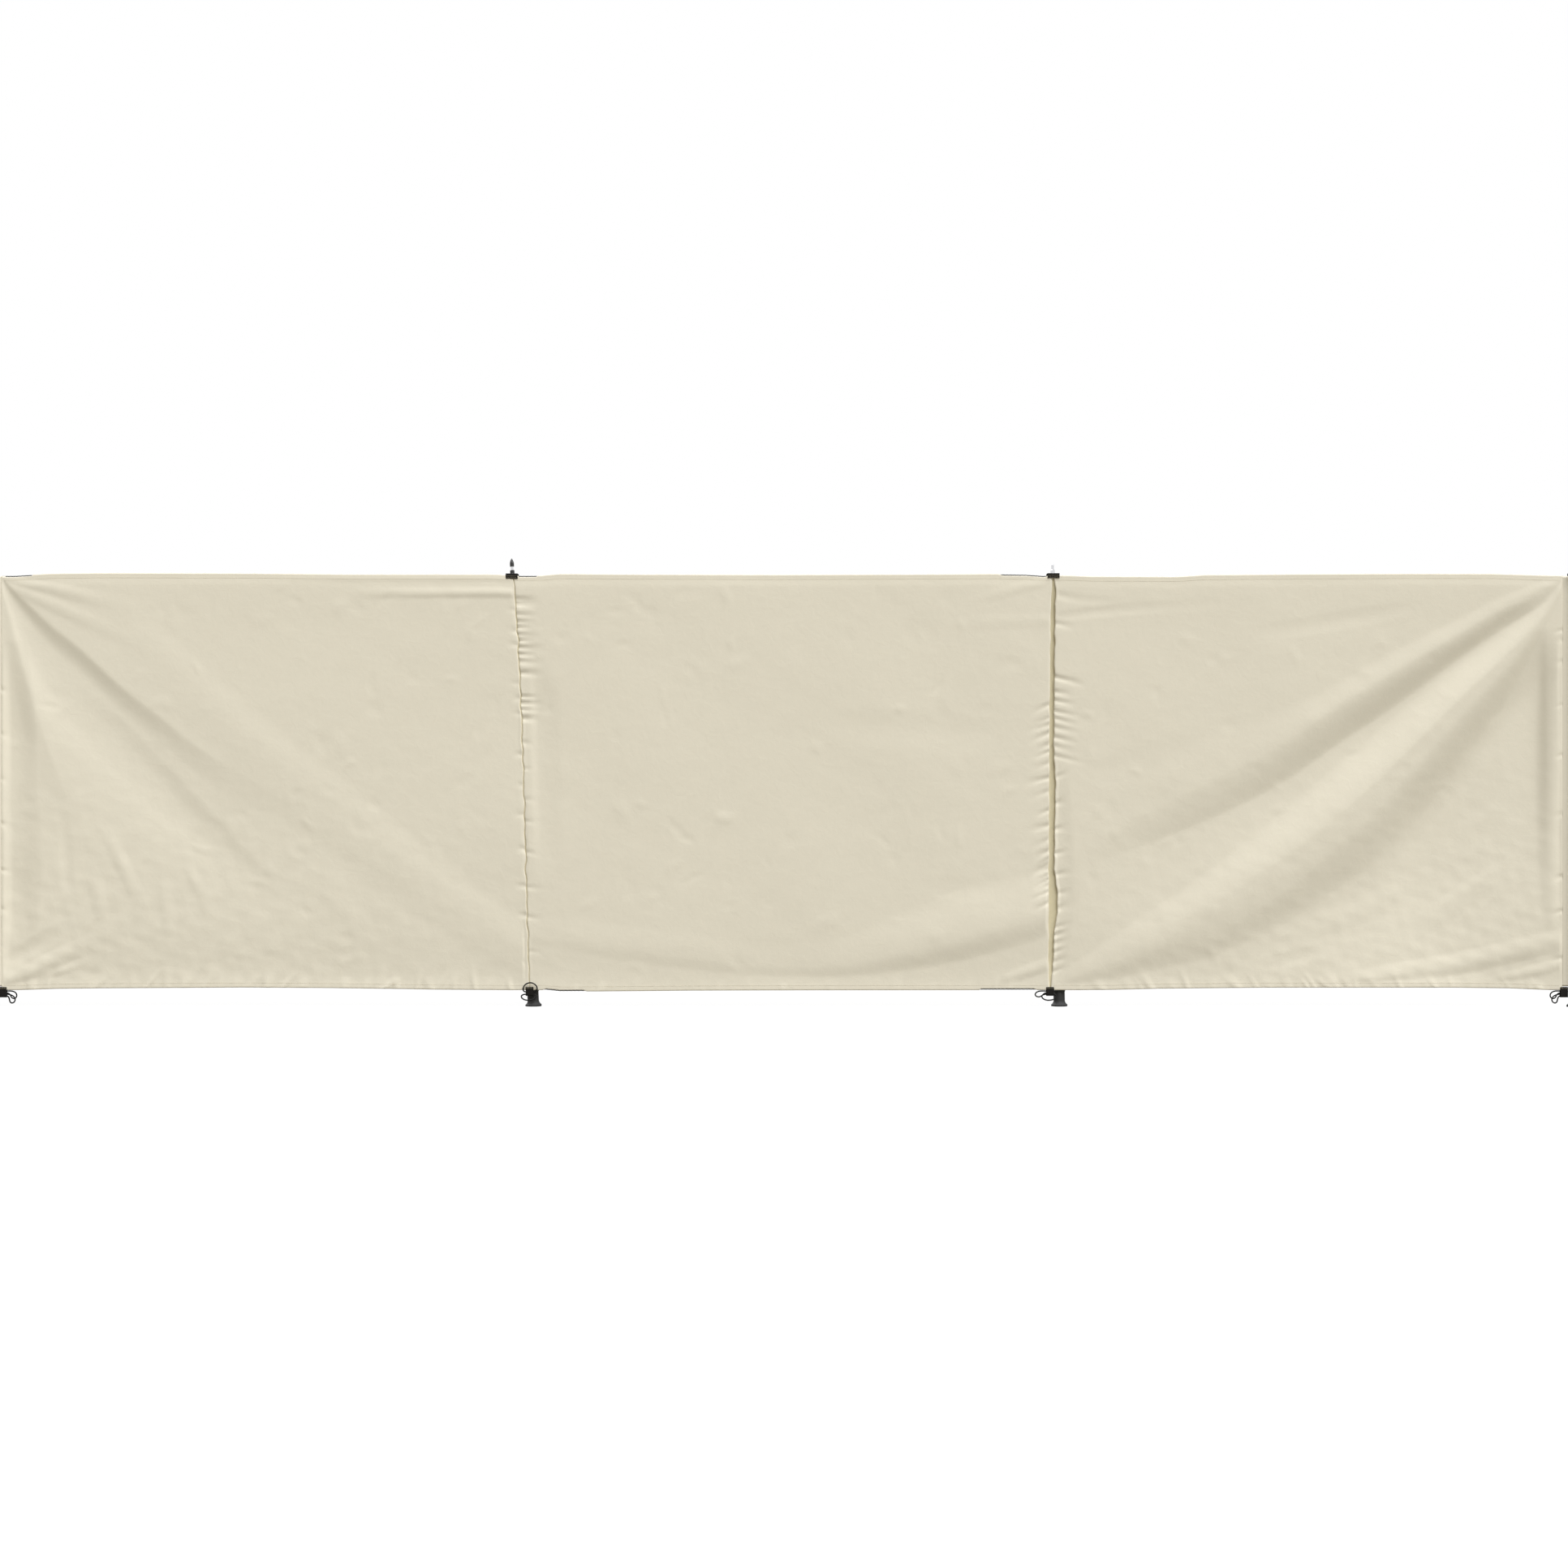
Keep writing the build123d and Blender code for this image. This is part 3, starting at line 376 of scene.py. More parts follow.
def plateau(share, start, ramp):
    """1 in the middle of a run from 0 to 1, falling to 0 towards both ends."""
    return np.clip((share - start) / ramp, 0, 1) * np.clip((1 - start - share) / ramp, 0, 1)


def seam_x(station, z):
    """Where a seam runs at height z, with its bow between the cloth's edges."""
    seam = SEAMS[station]
    share = (np.asarray(z) - CLOTH_LOW) / (CLOTH_TOP - CLOTH_LOW)
    line = seam["low"] + (seam["top"] - seam["low"]) * share
    bow = seam["bow"] * 6.75 * np.clip(share, 0, 1) ** 2 * np.clip(1 - share, 0, 1)
    waves = np.sin(61 * share) + np.sin(97 * share + 1.7) + np.sin(143 * share + 0.6)
    return (line + bow + seam["wiggle"] * waves * calm_at_ends(share)) * MM


def calm_at_ends(share):
    """1 along a seam, easing to 0 at its two ends."""
    return np.clip(14 * share, 0, 1) * np.clip(14 * (1 - share), 0, 1)


def half_gap(station, side, z):
    """Width of a seam's opening on one side of its line, scalloped between the puckers and narrow at its ends."""
    seam = SEAMS[station]
    share = (np.asarray(z) - CLOTH_LOW) / (CLOTH_TOP - CLOTH_LOW)
    calm = calm_at_ends(share)
    arcs = np.abs(np.sin(47 * share + 0.4)) + 0.7 * np.abs(np.sin(83 * share + side)) - 1.0
    wider = (1.0 if side > 0 else 0.35) * seam["scallop"] * arcs
    if station == "right_inner" and side > 0:
        wider = wider + np.interp(down_drawing(z), *np.transpose(OPENING))
    return (seam["gap"] / 2 * (0.3 + 0.7 * calm) + wider * calm) * MM


def panel_edge(station, side, z):
    """Where the cloth on one side of a seam turns down into it."""
    return seam_x(station, z) + side * half_gap(station, side, z)


def pole_x(station, z):
    """The pole's middle at height z."""
    low, top = SEAMS[station]["pole"]
    return (low + (top - low) * np.asarray(z) / CLOTH_TOP) * MM


def eased(points):
    """A dense smooth run through a fold's rows, sorted along it, for reading by interpolation."""
    rows = np.array(sorted(points), float)
    ends = np.vstack([2 * rows[0] - rows[1], rows, 2 * rows[-1] - rows[-2]])
    t = np.linspace(0, 1, 24, endpoint=False)[:, None]
    spans = []
    for a, b, c, d in zip(ends[:-3], ends[1:-2], ends[2:-1], ends[3:]):
        spans.append(0.5 * (2 * b + (c - a) * t + (2 * a - 5 * b + 4 * c - d) * t ** 2
                            + (3 * b - a - 3 * c + d) * t ** 3))
    return np.vstack(spans + [rows[-1:]])


def fold(kind, sharpness, points, across, down):
    """Rise in millimetres of one drawn fold at places on the drawing."""
    along, beside = (down, across) if kind == "y" else (across, down)
    run = eased(points)
    run = run[np.argsort(run[:, 0])]
    inside = (along >= run[0, 0]) & (along <= run[-1, 0])
    centre, before, after, rise = (np.interp(along, run[:, 0], run[:, i]) for i in range(1, 5))
    off = beside - centre
    share = np.clip(np.abs(off) / np.maximum(np.where(off < 0, before, after), 1.0), 0, 1)
    profile = (1 - share ** 2) ** sharpness
    if kind == "crisp":
        edge = np.sqrt(share ** 2 + CRISP_ROUNDING) - math.sqrt(CRISP_ROUNDING) * (1 - share)
        profile = np.where(off < 0, np.clip(1 - edge, 0, 1) ** CRISP_POWER, profile)
    return np.where(inside, rise * profile, 0.0)


def ripple(x, z, seed, wavelength, waves=9):
    """Smooth seeded undulation of about unit size, from a few plane waves."""
    draw = np.random.default_rng(seed)
    total = np.zeros_like(x)
    for _ in range(waves):
        angle = draw.uniform(0, 2 * math.pi)
        length = wavelength * draw.uniform(0.7, 1.5)
        phase = draw.uniform(0, 2 * math.pi)
        total += np.sin(2 * math.pi * (x * math.cos(angle) + z * math.sin(angle)) / length + phase)
    return total / math.sqrt(waves / 2)


def creases(bay, across, down):
    """Rise in millimetres of the short creases left all over a bay by packing."""
    draw = np.random.default_rng(CREASE_SEEDS[bay])
    first, last = (across_drawing(place) for place in BAY_REACH[bay])
    rise = np.zeros_like(across)
    for _ in range(CREASE_COUNT):
        middle = draw.uniform(first, last), draw.uniform(CREASE_TOP, CREASE_LOW)
        angle, bend = draw.uniform(0, math.pi), draw.uniform(-0.5, 0.5)
        length, width = draw.uniform(9, 24), draw.uniform(6, 13)
        size = draw.uniform(0.25, 0.85) * draw.choice((-1, 1))
        near = (np.abs(across - middle[0]) < length) & (np.abs(down - middle[1]) < length)
        u = (across[near] - middle[0]) * math.cos(angle) + (down[near] - middle[1]) * math.sin(angle)
        v = (down[near] - middle[1]) * math.cos(angle) - (across[near] - middle[0]) * math.sin(angle)
        v += bend * u ** 2 / length
        rise[near] += size * np.clip(1 - (u / length) ** 2, 0, 1) ** 2 * np.clip(1 - (v / width) ** 2, 0, 1) ** 2
    return rise


def puckers(bay, x, z):
    """Rise in millimetres of the puckers drawn in by the two seams of a bay."""
    left, right = BAYS[bay]
    down = down_drawing(z)
    rise = np.zeros_like(x)
    for station, side, places, length, deep, slant in PUCKERS:
        if station != (left if side > 0 else right):
            continue
        draw = np.random.default_rng(int(places[0] * 7 + length))
        away = side * (x - panel_edge(station, side, z)) / DRAWING_UNIT
        for place in places:
            reach = length * draw.uniform(0.7, 1.25)
            spread = PUCKER_SPREAD * draw.uniform(0.8, 1.35)
            size = deep * draw.uniform(0.6, 1.2)
            lean = slant * draw.uniform(0.6, 1.4)
            share = np.abs(down - place - lean * away) / (spread * (1 + away / reach))
            fade = np.clip(1 - away / reach, 0, 1) ** FADE_POWER
            rise -= PUCKER_DEPTH * size * fade * np.clip(1 - share ** 2, 0, 1) ** 2
    return rise


def gathers(bay, across, down):
    """Rise in millimetres of the small gathers along the lower hem of a bay."""
    first, last, gap, height, deep, turn = GATHERS[bay]
    draw = np.random.default_rng(first)
    rise = np.zeros_like(across)
    place = float(first)
    while place < last:
        tall = height * draw.uniform(0.7, 2.0)
        spread = draw.uniform(3.5, 9.0)
        size = deep * draw.uniform(0.3, 1.3)
        lean = turn * draw.uniform(-0.2, 1.0)
        up = GATHER_FOOT - down
        grown = np.clip(up / tall, 0, 1)
        share = np.abs(across - place - lean * up) / (spread * (1 + 0.4 * grown))
        rise += GATHER_HEIGHT * size * (1 - grown) ** FADE_POWER * np.clip(1 - share ** 2, 0, 1) ** 1.5
        place += gap * draw.uniform(0.4, 1.7)
    return rise


def slackness(across, down):
    """How slack the cloth is at places on the drawing: most in the lower outer parts."""
    lower = np.clip((down - SLACK_TOP) / SLACK_DOWN, 0, 1)
    outer = np.clip(np.abs(across - SLACK_MIDDLE) / SLACK_OUT - SLACK_START, 0, MOST_SLACK)
    return LEAST_SLACK + lower * outer


def cloth_rise(bay, x, z, depth):
    """How far the cloth of a bay stands forward at x and z, in metres."""
    left, right = BAYS[bay]
    across, down = across_drawing(x), down_drawing(z)
    rise = np.zeros_like(x)
    for kind, sharpness, points in FOLDS[bay]:
        rise += fold(kind, sharpness, points, across, down)
    rise *= depth
    for seed, wavelength, size in BROAD_RIPPLES:
        rise += size * ripple(x, z, seed, wavelength)
    slack = slackness(across, down)
    for seed, wavelength, size in SLACK_RIPPLES:
        rise += slack * size * ripple(x, z, seed, wavelength)
    rise *= LOW_SHARE + (1 - LOW_SHARE) * smooth(np.clip((z - CLOTH_LOW) / HEM_CALM, 0, 1))
    near = np.minimum(x - panel_edge(left, 1, z), panel_edge(right, -1, z) - x)
    rise *= np.clip(near / SEAM_CALM, 0, 1)
    rise += puckers(bay, x, z) + gathers(bay, across, down) + creases(bay, across, down)
    for middle, below, above, size in HEM_BANDS:
        reach = np.where(z < middle, below, above)
        rise += size * smooth(np.clip(1 - np.abs(z - middle) / reach, 0, 1))
    low = LOW_SHARE + (1 - LOW_SHARE) * np.clip((z - CLOTH_LOW) / LOW_CALM, 0, 1)
    top = TOP_SHARE + (1 - TOP_SHARE) * np.clip((CLOTH_TOP - z) / TOP_CALM, 0, 1)
    return np.where(rise < 0, rise * low, rise) * MM * top


def edge_drift(x, z):
    """How far the cloth is lifted at x and z by the drift of its upper and lower edge, in metres."""
    shares = {"top": (z - DRIFT_TOP) / (CLOTH_TOP - DRIFT_TOP), "low": (DRIFT_LOW - z) / (DRIFT_LOW - CLOTH_LOW)}
    drift = np.zeros_like(x)
    for edge, share in shares.items():
        drift += np.interp(across_drawing(x), *np.transpose(EDGE_DRIFT[edge])) * smooth(np.clip(share, 0, 1))
    return drift * DRAWING_UNIT


def edge_turn(bay, x, z):
    """How far the cloth turns back where it goes down into a seam."""
    left, right = BAYS[bay]
    back = np.zeros_like(x)
    for station, side in ((left, 1), (right, -1)):
        edge = panel_edge(station, side, z)
        radius = SEAMS[station]["turn"] * MM
        away = np.clip(side * (x - edge), 0, radius)
        back += radius - np.sqrt(radius ** 2 - (radius - away) ** 2)
    return back


def grown_steps(length, step, first, growth):
    """Places from 0 to length that lie close together at both ends."""
    half = [0.0]
    size = first
    while half[-1] + size < length / 2:
        half.append(half[-1] + size)
        size = min(step, size * growth)
    half = np.array(half)
    return np.concatenate([half, [length / 2], length - half[::-1]]) / length


def linked(name, data):
    """A new object in the scene."""
    made = bpy.data.objects.new(name, data)
    bpy.context.scene.collection.objects.link(made)
    return made


def mesh_of(name, shape):
    """A new mesh of a bmesh, which is freed."""
    mesh = bpy.data.meshes.new(name)
    shape.to_mesh(mesh)
    shape.free()
    return mesh


def grid_mesh(name, columns, rows, place, closed=False):
    """An object of a grid whose column and row numbers are placed in space; its UV map is in metres."""
    shape = bmesh.new()
    bmesh.ops.create_grid(shape, x_segments=columns, y_segments=rows, size=0.5)
    mesh = mesh_of(name, shape)
    flat = np.zeros(len(mesh.vertices) * 3)
    mesh.vertices.foreach_get("co", flat)
    flat = flat.reshape(-1, 3)
    column = np.rint((flat[:, 0] + 0.5) * columns).astype(int)
    row = np.rint((flat[:, 1] + 0.5) * rows).astype(int)
    points, across, along = place(column, row)
    mesh.vertices.foreach_set("co", points.astype(np.float32).ravel())
    corners = np.zeros(len(mesh.loops), np.int32)
    mesh.loops.foreach_get("vertex_index", corners)
    layer = mesh.uv_layers.new(name="Metres")
    layer.data.foreach_set("uv", np.column_stack([across, along])[corners].astype(np.float32).ravel())
    if closed:
        shape = bmesh.new()
        shape.from_mesh(mesh)
        bmesh.ops.remove_doubles(shape, verts=shape.verts, dist=1e-6)
        bmesh.ops.recalc_face_normals(shape, faces=shape.faces)
        shape.to_mesh(mesh)
        shape.free()
    mesh.polygons.foreach_set("use_smooth", np.ones(len(mesh.polygons), bool))
    mesh.update()
    return linked(name, mesh)


def spline_weights(count, keys):
    """Weights of an open cubic B-spline that starts and ends on its first and last key."""
    degree = 3
    knots = np.concatenate([np.zeros(degree), np.arange(keys - degree + 1), np.full(degree, keys - degree)])
    knots = knots.astype(float)
    t = np.linspace(0, keys - degree, count)
    t[-1] -= 1e-9
    basis = [((knots[i] <= t) & (t < knots[i + 1])).astype(float) for i in range(len(knots) - 1)]
    for d in range(1, degree + 1):
        raised = []
        for i in range(len(knots) - d - 1):
            width_a = knots[i + d] - knots[i]
            width_b = knots[i + d + 1] - knots[i + 1]
            part_a = (t - knots[i]) / width_a * basis[i] if width_a else 0 * t
            part_b = (knots[i + d + 1] - t) / width_b * basis[i + 1] if width_b else 0 * t
            raised.append(part_a + part_b)
        basis = raised
    return np.array(basis[:keys]).T


def take(piece, material, slot, *nodes):
    """Finishes a new piece: material, ride and the solids it stands for. The slot argument is not used."""
    piece.data.materials.clear()
    piece.data.materials.append(material)
    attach(piece, BODY)
    if nodes:
        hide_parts(*nodes)
    return piece


# Materials

def node_adder(tree):
    """A helper that adds a node to a tree, with its links, values and settings."""
    def add(kind, links=None, values=None, **settings):
        node = tree.nodes.new(kind)
        for key, value in settings.items():
            setattr(node, key, value)
        for key, value in (values or {}).items():
            node.inputs[key].default_value = value
        for key, source in (links or {}).items():
            tree.links.new(source, node.inputs[key])
        return node

    return add


def started(name, colour, roughness):
    """A new material with its shader set, and a helper that adds nodes to it."""
    material = bpy.data.materials.new(name)
    material.use_nodes = True
    tree = material.node_tree
    shader = tree.nodes["Principled BSDF"]
    shader.inputs["Base Color"].default_value = (*colour, 1.0)
    shader.inputs["Roughness"].default_value = roughness
    return material, tree, shader, node_adder(tree)


def tinted(tree, shader, add, colour, source, dark, light):
    """Runs the base colour between a darker and a lighter shade of itself by a pattern."""
    ramp = add("ShaderNodeValToRGB", {"Fac": source})
    ramp.color_ramp.elements[0].color = (*[c * dark for c in colour], 1.0)
    ramp.color_ramp.elements[1].color = (*[min(1.0, c * light) for c in colour], 1.0)
    tree.links.new(ramp.outputs["Color"], shader.inputs["Base Color"])
    return ramp


def ranged(tree, socket, add, source, low, high):
    """Runs a shader's socket between two numbers by a pattern."""
    mapped = add("ShaderNodeMapRange", {"Value": source}, {"To Min": low, "To Max": high})
    tree.links.new(mapped.outputs["Result"], socket)


def bumped(tree, shader, add, *layers):
    """Lays bumps over one another on a shader: pattern, strength and depth in millimetres of each."""
    below = {}
    for source, strength, deep in layers:
        bump = add("ShaderNodeBump", {"Height": source, **below}, {"Strength": strength, "Distance": deep * MM})
        below = {"Normal": bump.outputs["Normal"]}
    tree.links.new(below["Normal"], shader.inputs["Normal"])


def paint_groove_shade(tree, shader, add, metres):
    """Paints the groove's shadow into a sleeve's cloth: darker, yellower colour where it lies in its seam's groove."""
    parts = add("ShaderNodeSeparateXYZ", {"Vector": metres.outputs["UV"]})
    off = add("ShaderNodeMath", {0: parts.outputs["X"]}, {1: -SLEEVE_ARC / 2}, operation="ADD")
    away = add("ShaderNodeMath", {0: off.outputs["Value"]}, operation="ABSOLUTE")
    share = add("ShaderNodeMath", {0: away.outputs["Value"]}, {1: 2 / SLEEVE_ARC}, operation="MULTIPLY")
    # Painted shade: darker, yellower colour across the strip in the groove, plain cloth colour outside it
    ramp = add("ShaderNodeValToRGB", {"Fac": share.outputs["Value"]})
    stops = ramp.color_ramp.elements
    for place, shade in ((0.48, GROOVE_PAINTED_SHADE), (0.8, GROOVE_PAINTED_SHADE)):
        stops.new(place).color = (*shade, 1.0)
    stops[0].position, stops[-1].position = 0.42, 0.87
    for stop in (stops[0], stops[-1]):
        stop.color = (1.0, 1.0, 1.0, 1.0)
    plain = shader.inputs["Base Color"].links[0].from_socket
    shaded = add("ShaderNodeMix", {6: plain, 7: ramp.outputs["Color"]}, {0: 1.0}, data_type="RGBA",
                 blend_type="MULTIPLY")
    tree.links.new(shaded.outputs[2], shader.inputs["Base Color"])


def cloth_material(settings, name="cream_cloth", with_painted_shade=False):
    """Plain-woven cream cloth: weave, slubs, soft staining and sheen, and for the sleeves painted shade in a seam's
    groove.
    """
    colour = tuple(settings.cloth_colour)
    material, tree, shader, add = started(name, colour, 0.86)
    shader.inputs["Sheen Weight"].default_value = 0.12
    shader.inputs["Sheen Roughness"].default_value = 0.6
    shader.inputs["Specular IOR Level"].default_value = 0.25
    metres = add("ShaderNodeUVMap", uv_map="Metres")
    place = add("ShaderNodeTexCoord")
    threads = {"Scale": 260.0, "Distortion": 0.6, "Detail": 1.0, "Detail Scale": 0.4}
    warp, weft = (add("ShaderNodeTexWave", {"Vector": metres.outputs["UV"]}, threads, bands_direction=way)
                  for way in "XY")
    weave = add("ShaderNodeMath", {0: warp.outputs["Fac"], 1: weft.outputs["Fac"]}, operation="MAXIMUM")
    slub_scale = add("ShaderNodeMapping", {"Vector": metres.outputs["UV"]}, {"Scale": (14.0, 420.0, 1.0)})
    slub = add("ShaderNodeTexNoise", {"Vector": slub_scale.outputs["Vector"]}, {"Scale": 1.0, "Detail": 3.0})
    stain = add("ShaderNodeTexNoise", {"Vector": place.outputs["Object"]}, {"Scale": 2.2, "Detail": 5.0,
                "Roughness": 0.6})
    crease = add("ShaderNodeTexNoise", {"Vector": place.outputs["Object"]}, {"Scale": 42.0, "Detail": 4.0,
                 "Roughness": 0.62, "Distortion": 0.7})
    mottle = add("ShaderNodeMath", {0: stain.outputs["Fac"], 1: slub.outputs["Fac"]}, {2: 0.0},
                 operation="MULTIPLY_ADD")
    blended = add("ShaderNodeMath", {0: mottle.outputs["Value"], 1: crease.outputs["Fac"]}, operation="ADD")
    tinted(tree, shader, add, colour, blended.outputs["Value"], 0.975, 1.02)
    # Inner sleeves get painted shade where they lie in the seam's groove, standing in for the shadow there
    if with_painted_shade:
        paint_groove_shade(tree, shader, add, metres)
    ranged(tree, shader.inputs["Roughness"], add, slub.outputs["Fac"], 0.8, 0.92)
    bumped(tree, shader, add, (crease.outputs["Fac"], 0.5, 0.9), (slub.outputs["Fac"], 0.3, 0.15),
           (weave.outputs["Value"], 0.25, 0.12))
    return material


def webbing_material(settings):
    """Black woven webbing with ribs across and fuzz on its edges."""
    colour = tuple(settings.webbing_colour)
    material, tree, shader, add = started("black_webbing", colour, 0.7)
    shader.inputs["Sheen Weight"].default_value = 0.04
    shader.inputs["Specular IOR Level"].default_value = 0.15
    metres = add("ShaderNodeUVMap", uv_map="Metres")
    rib = add("ShaderNodeTexWave", {"Vector": metres.outputs["UV"]}, {"Scale": 190.0, "Distortion": 0.8,
              "Detail": 1.0}, bands_direction="Y")
    cross = add("ShaderNodeTexWave", {"Vector": metres.outputs["UV"]}, {"Scale": 120.0, "Distortion": 0.8,
                "Detail": 1.0}, bands_direction="X")
    weave = add("ShaderNodeMath", {0: rib.outputs["Fac"], 1: cross.outputs["Fac"]}, operation="MULTIPLY")
    fuzz = add("ShaderNodeTexNoise", {"Vector": metres.outputs["UV"]}, {"Scale": 900.0, "Detail": 3.0})
    tinted(tree, shader, add, colour, weave.outputs["Value"], 0.6, 2.2)
    ranged(tree, shader.inputs["Roughness"], add, fuzz.outputs["Fac"], 0.6, 0.85)
    bumped(tree, shader, add, (weave.outputs["Value"], 0.8, 0.5), (fuzz.outputs["Fac"], 0.3, 0.2))
    return material


def braid_material(name, colour, scale):
    """Braided cord: two crossing sets of slanted strands on its own UV map."""
    material, tree, shader, add = started(name, colour, 0.62)
    shader.inputs["Sheen Weight"].default_value = 0.04
    shader.inputs["Specular IOR Level"].default_value = 0.15
    own = add("ShaderNodeTexCoord")
    sets = []
    for turn in (0.7, -0.7):
        lean = add("ShaderNodeMapping", {"Vector": own.outputs["UV"]}, {"Scale": scale, "Rotation": (0.0, 0.0, turn)})
        sets.append(add("ShaderNodeTexWave", {"Vector": lean.outputs["Vector"]}, {"Scale": 1.0, "Distortion": 0.4}))
    braid = add("ShaderNodeMath", {0: sets[0].outputs["Fac"], 1: sets[1].outputs["Fac"]}, operation="MAXIMUM")
    tinted(tree, shader, add, colour, braid.outputs["Value"], 0.5, 1.8)
    ranged(tree, shader.inputs["Roughness"], add, braid.outputs["Value"], 0.75, 0.55)
    bumped(tree, shader, add, (braid.outputs["Value"], 0.7, 0.3))
    return material


def thread_material(name, colour):
    """Twisted sewing thread."""
    material, tree, shader, add = started(name, colour, 0.6)
    shader.inputs["Specular IOR Level"].default_value = 0.2
    place = add("ShaderNodeTexCoord")
    twist = add("ShaderNodeTexNoise", {"Vector": place.outputs["Object"]}, {"Scale": 900.0, "Detail": 2.0})
    tinted(tree, shader, add, colour, twist.outputs["Fac"], 0.85, 1.1)
    bumped(tree, shader, add, (twist.outputs["Fac"], 0.3, 0.1))
    return material


def metal_material(name, colour, roughness, grain):
    """Steel with drawing lines along it, smudges and fine scratches."""
    material, tree, shader, add = started(name, colour, roughness)
    shader.inputs["Metallic"].default_value = 1.0
    place = add("ShaderNodeTexCoord")
    lines = add("ShaderNodeMapping", {"Vector": place.outputs["Object"]}, {"Scale": grain})
    scratch = add("ShaderNodeTexNoise", {"Vector": lines.outputs["Vector"]}, {"Scale": 1.0, "Detail": 4.0})
    smudge = add("ShaderNodeTexNoise", {"Vector": place.outputs["Object"]}, {"Scale": 60.0, "Detail": 3.0})
    tinted(tree, shader, add, colour, smudge.outputs["Fac"], 0.88, 1.08)
    ranged(tree, shader.inputs["Roughness"], add, scratch.outputs["Fac"], roughness * 0.6, roughness * 1.5)
    bumped(tree, shader, add, (scratch.outputs["Fac"], 0.15, 0.1))
    return material


def moulded_material(name, colour, roughness, grain, dust):
    """Moulded black plastic or rubber: fine grain, and pale dust in its colour."""
    material, tree, shader, add = started(name, colour, roughness)
    shader.inputs["Specular IOR Level"].default_value = 0.1
    place = add("ShaderNodeTexCoord")
    fine = add("ShaderNodeTexNoise", {"Vector": place.outputs["Object"]}, {"Scale": grain, "Detail": 2.0})
    cloud = add("ShaderNodeTexNoise", {"Vector": place.outputs["Object"]}, {"Scale": 55.0, "Detail": 5.0})
    ramp = tinted(tree, shader, add, colour, cloud.outputs["Fac"], 0.8, dust)
    ramp.color_ramp.elements[0].position = 0.4
    ramp.color_ramp.elements[1].position = 0.85
    ranged(tree, shader.inputs["Roughness"], add, cloud.outputs["Fac"], roughness * 0.85, roughness * 1.2)
    bumped(tree, shader, add, (fine.outputs["Fac"], 0.25, 0.15))
    return material


def finish_of(context, name):
    """A finish by name, made once."""
    made = bpy.data.materials.get(name)
    if made:
        return made
    settings = context.scene.windbreak
    makers = {
        "cream_cloth": lambda: cloth_material(settings),
        # The sleeves' cloth carries painted shade in the seam's groove
        "sleeve_cloth": lambda: cloth_material(settings, "sleeve_cloth", True),
        "black_webbing": lambda: webbing_material(settings),
        "black_elastic": lambda: braid_material("black_elastic", (0.007, 0.007, 0.007), (60.0, 6.0, 1.0)),
        "hem_thread": lambda: thread_material("hem_thread", tuple(settings.thread_colour)),
        "tab_thread": lambda: thread_material("tab_thread", (0.30, 0.26, 0.17)),
        "twisted_cord": lambda: thread_material("twisted_cord", tuple(settings.cord_colour)),
        "pole_steel": lambda: metal_material("pole_steel", (0.55, 0.56, 0.58), 0.34, (900.0, 900.0, 8.0)),
        "spike_steel": lambda: metal_material("spike_steel", (0.46, 0.46, 0.48), 0.24, (1500.0, 1500.0, 40.0)),
        "eyelet_metal": lambda: metal_material("eyelet_metal", (0.74, 0.73, 0.71), 0.24, (700.0, 700.0, 700.0)),
        "black_plastic": lambda: moulded_material("black_plastic", (0.008, 0.008, 0.009), 0.38, 1500.0, 1.6),
        "foot_rubber": lambda: moulded_material("foot_rubber", (0.007, 0.007, 0.007), 0.48, 1100.0, 2.6),
    }
    return makers[name]()


# Operators

def add_camera(scene):
    """A camera straight before the front, as wide as the fold drawing."""
    camera = bpy.data.cameras.new("camera")
    camera.sensor_width = SENSOR_WIDTH
    camera.lens = camera.sensor_width * CAMERA_AWAY / (DRAWING_SIZE * DRAWING_UNIT)
    stand = linked("camera", camera)
    stand.location = (drawn_x(DRAWING_SIZE / 2), -CAMERA_AWAY, drawn_z(DRAWING_SIZE / 2))
    stand.rotation_euler = (math.pi / 2, 0.0, 0.0)
    scene.camera = stand


def add_lights(settings):
    """Two wide soft lights, from above the front and from above the back."""
    for name, strength, place, heading in (
        ("overhead", settings.key_strength, (3.6, -3.2, 5.2), (-0.34, 0.52, -0.98)),
        ("rear", settings.rear_strength, (0.6, 3.2, 5.2), (0.42, -0.68, -0.9)),
    ):
        lamp = bpy.data.lights.new(name, "SUN")
        lamp.energy = strength
        lamp.angle = settings.key_softness
        lamp.color = (0.975, 0.985, 1.0)
        holder = linked(name, lamp)
        holder.location = place
        holder.rotation_euler = Vector(heading).to_track_quat("-Z", "Y").to_euler()


def white_room(settings):
    """A world that looks white and lights the cloth softly from all round."""
    world = bpy.data.worlds.new("white_room")
    world.use_nodes = True
    tree = world.node_tree
    tree.nodes.clear()
    add = node_adder(tree)
    path = add("ShaderNodeLightPath")
    seen = add("ShaderNodeMath", {0: path.outputs["Is Camera Ray"], 1: path.outputs["Is Glossy Ray"]},
               operation="MAXIMUM")
    shown = add("ShaderNodeMath", {0: seen.outputs["Value"], 1: path.outputs["Is Transmission Ray"]},
                operation="MAXIMUM")
    room = add("ShaderNodeBackground", values={"Color": (1.0, 0.955, 0.86, 1.0), "Strength": settings.ambient})
    white = add("ShaderNodeBackground", values={"Color": (1.0, 1.0, 1.0, 1.0), "Strength": 1.0})
    mix = add("ShaderNodeMixShader", {"Fac": shown.outputs["Value"], 1: room.outputs["Background"],
                                      2: white.outputs["Background"]})
    add("ShaderNodeOutputWorld", {"Surface": mix.outputs["Shader"]})
    return world


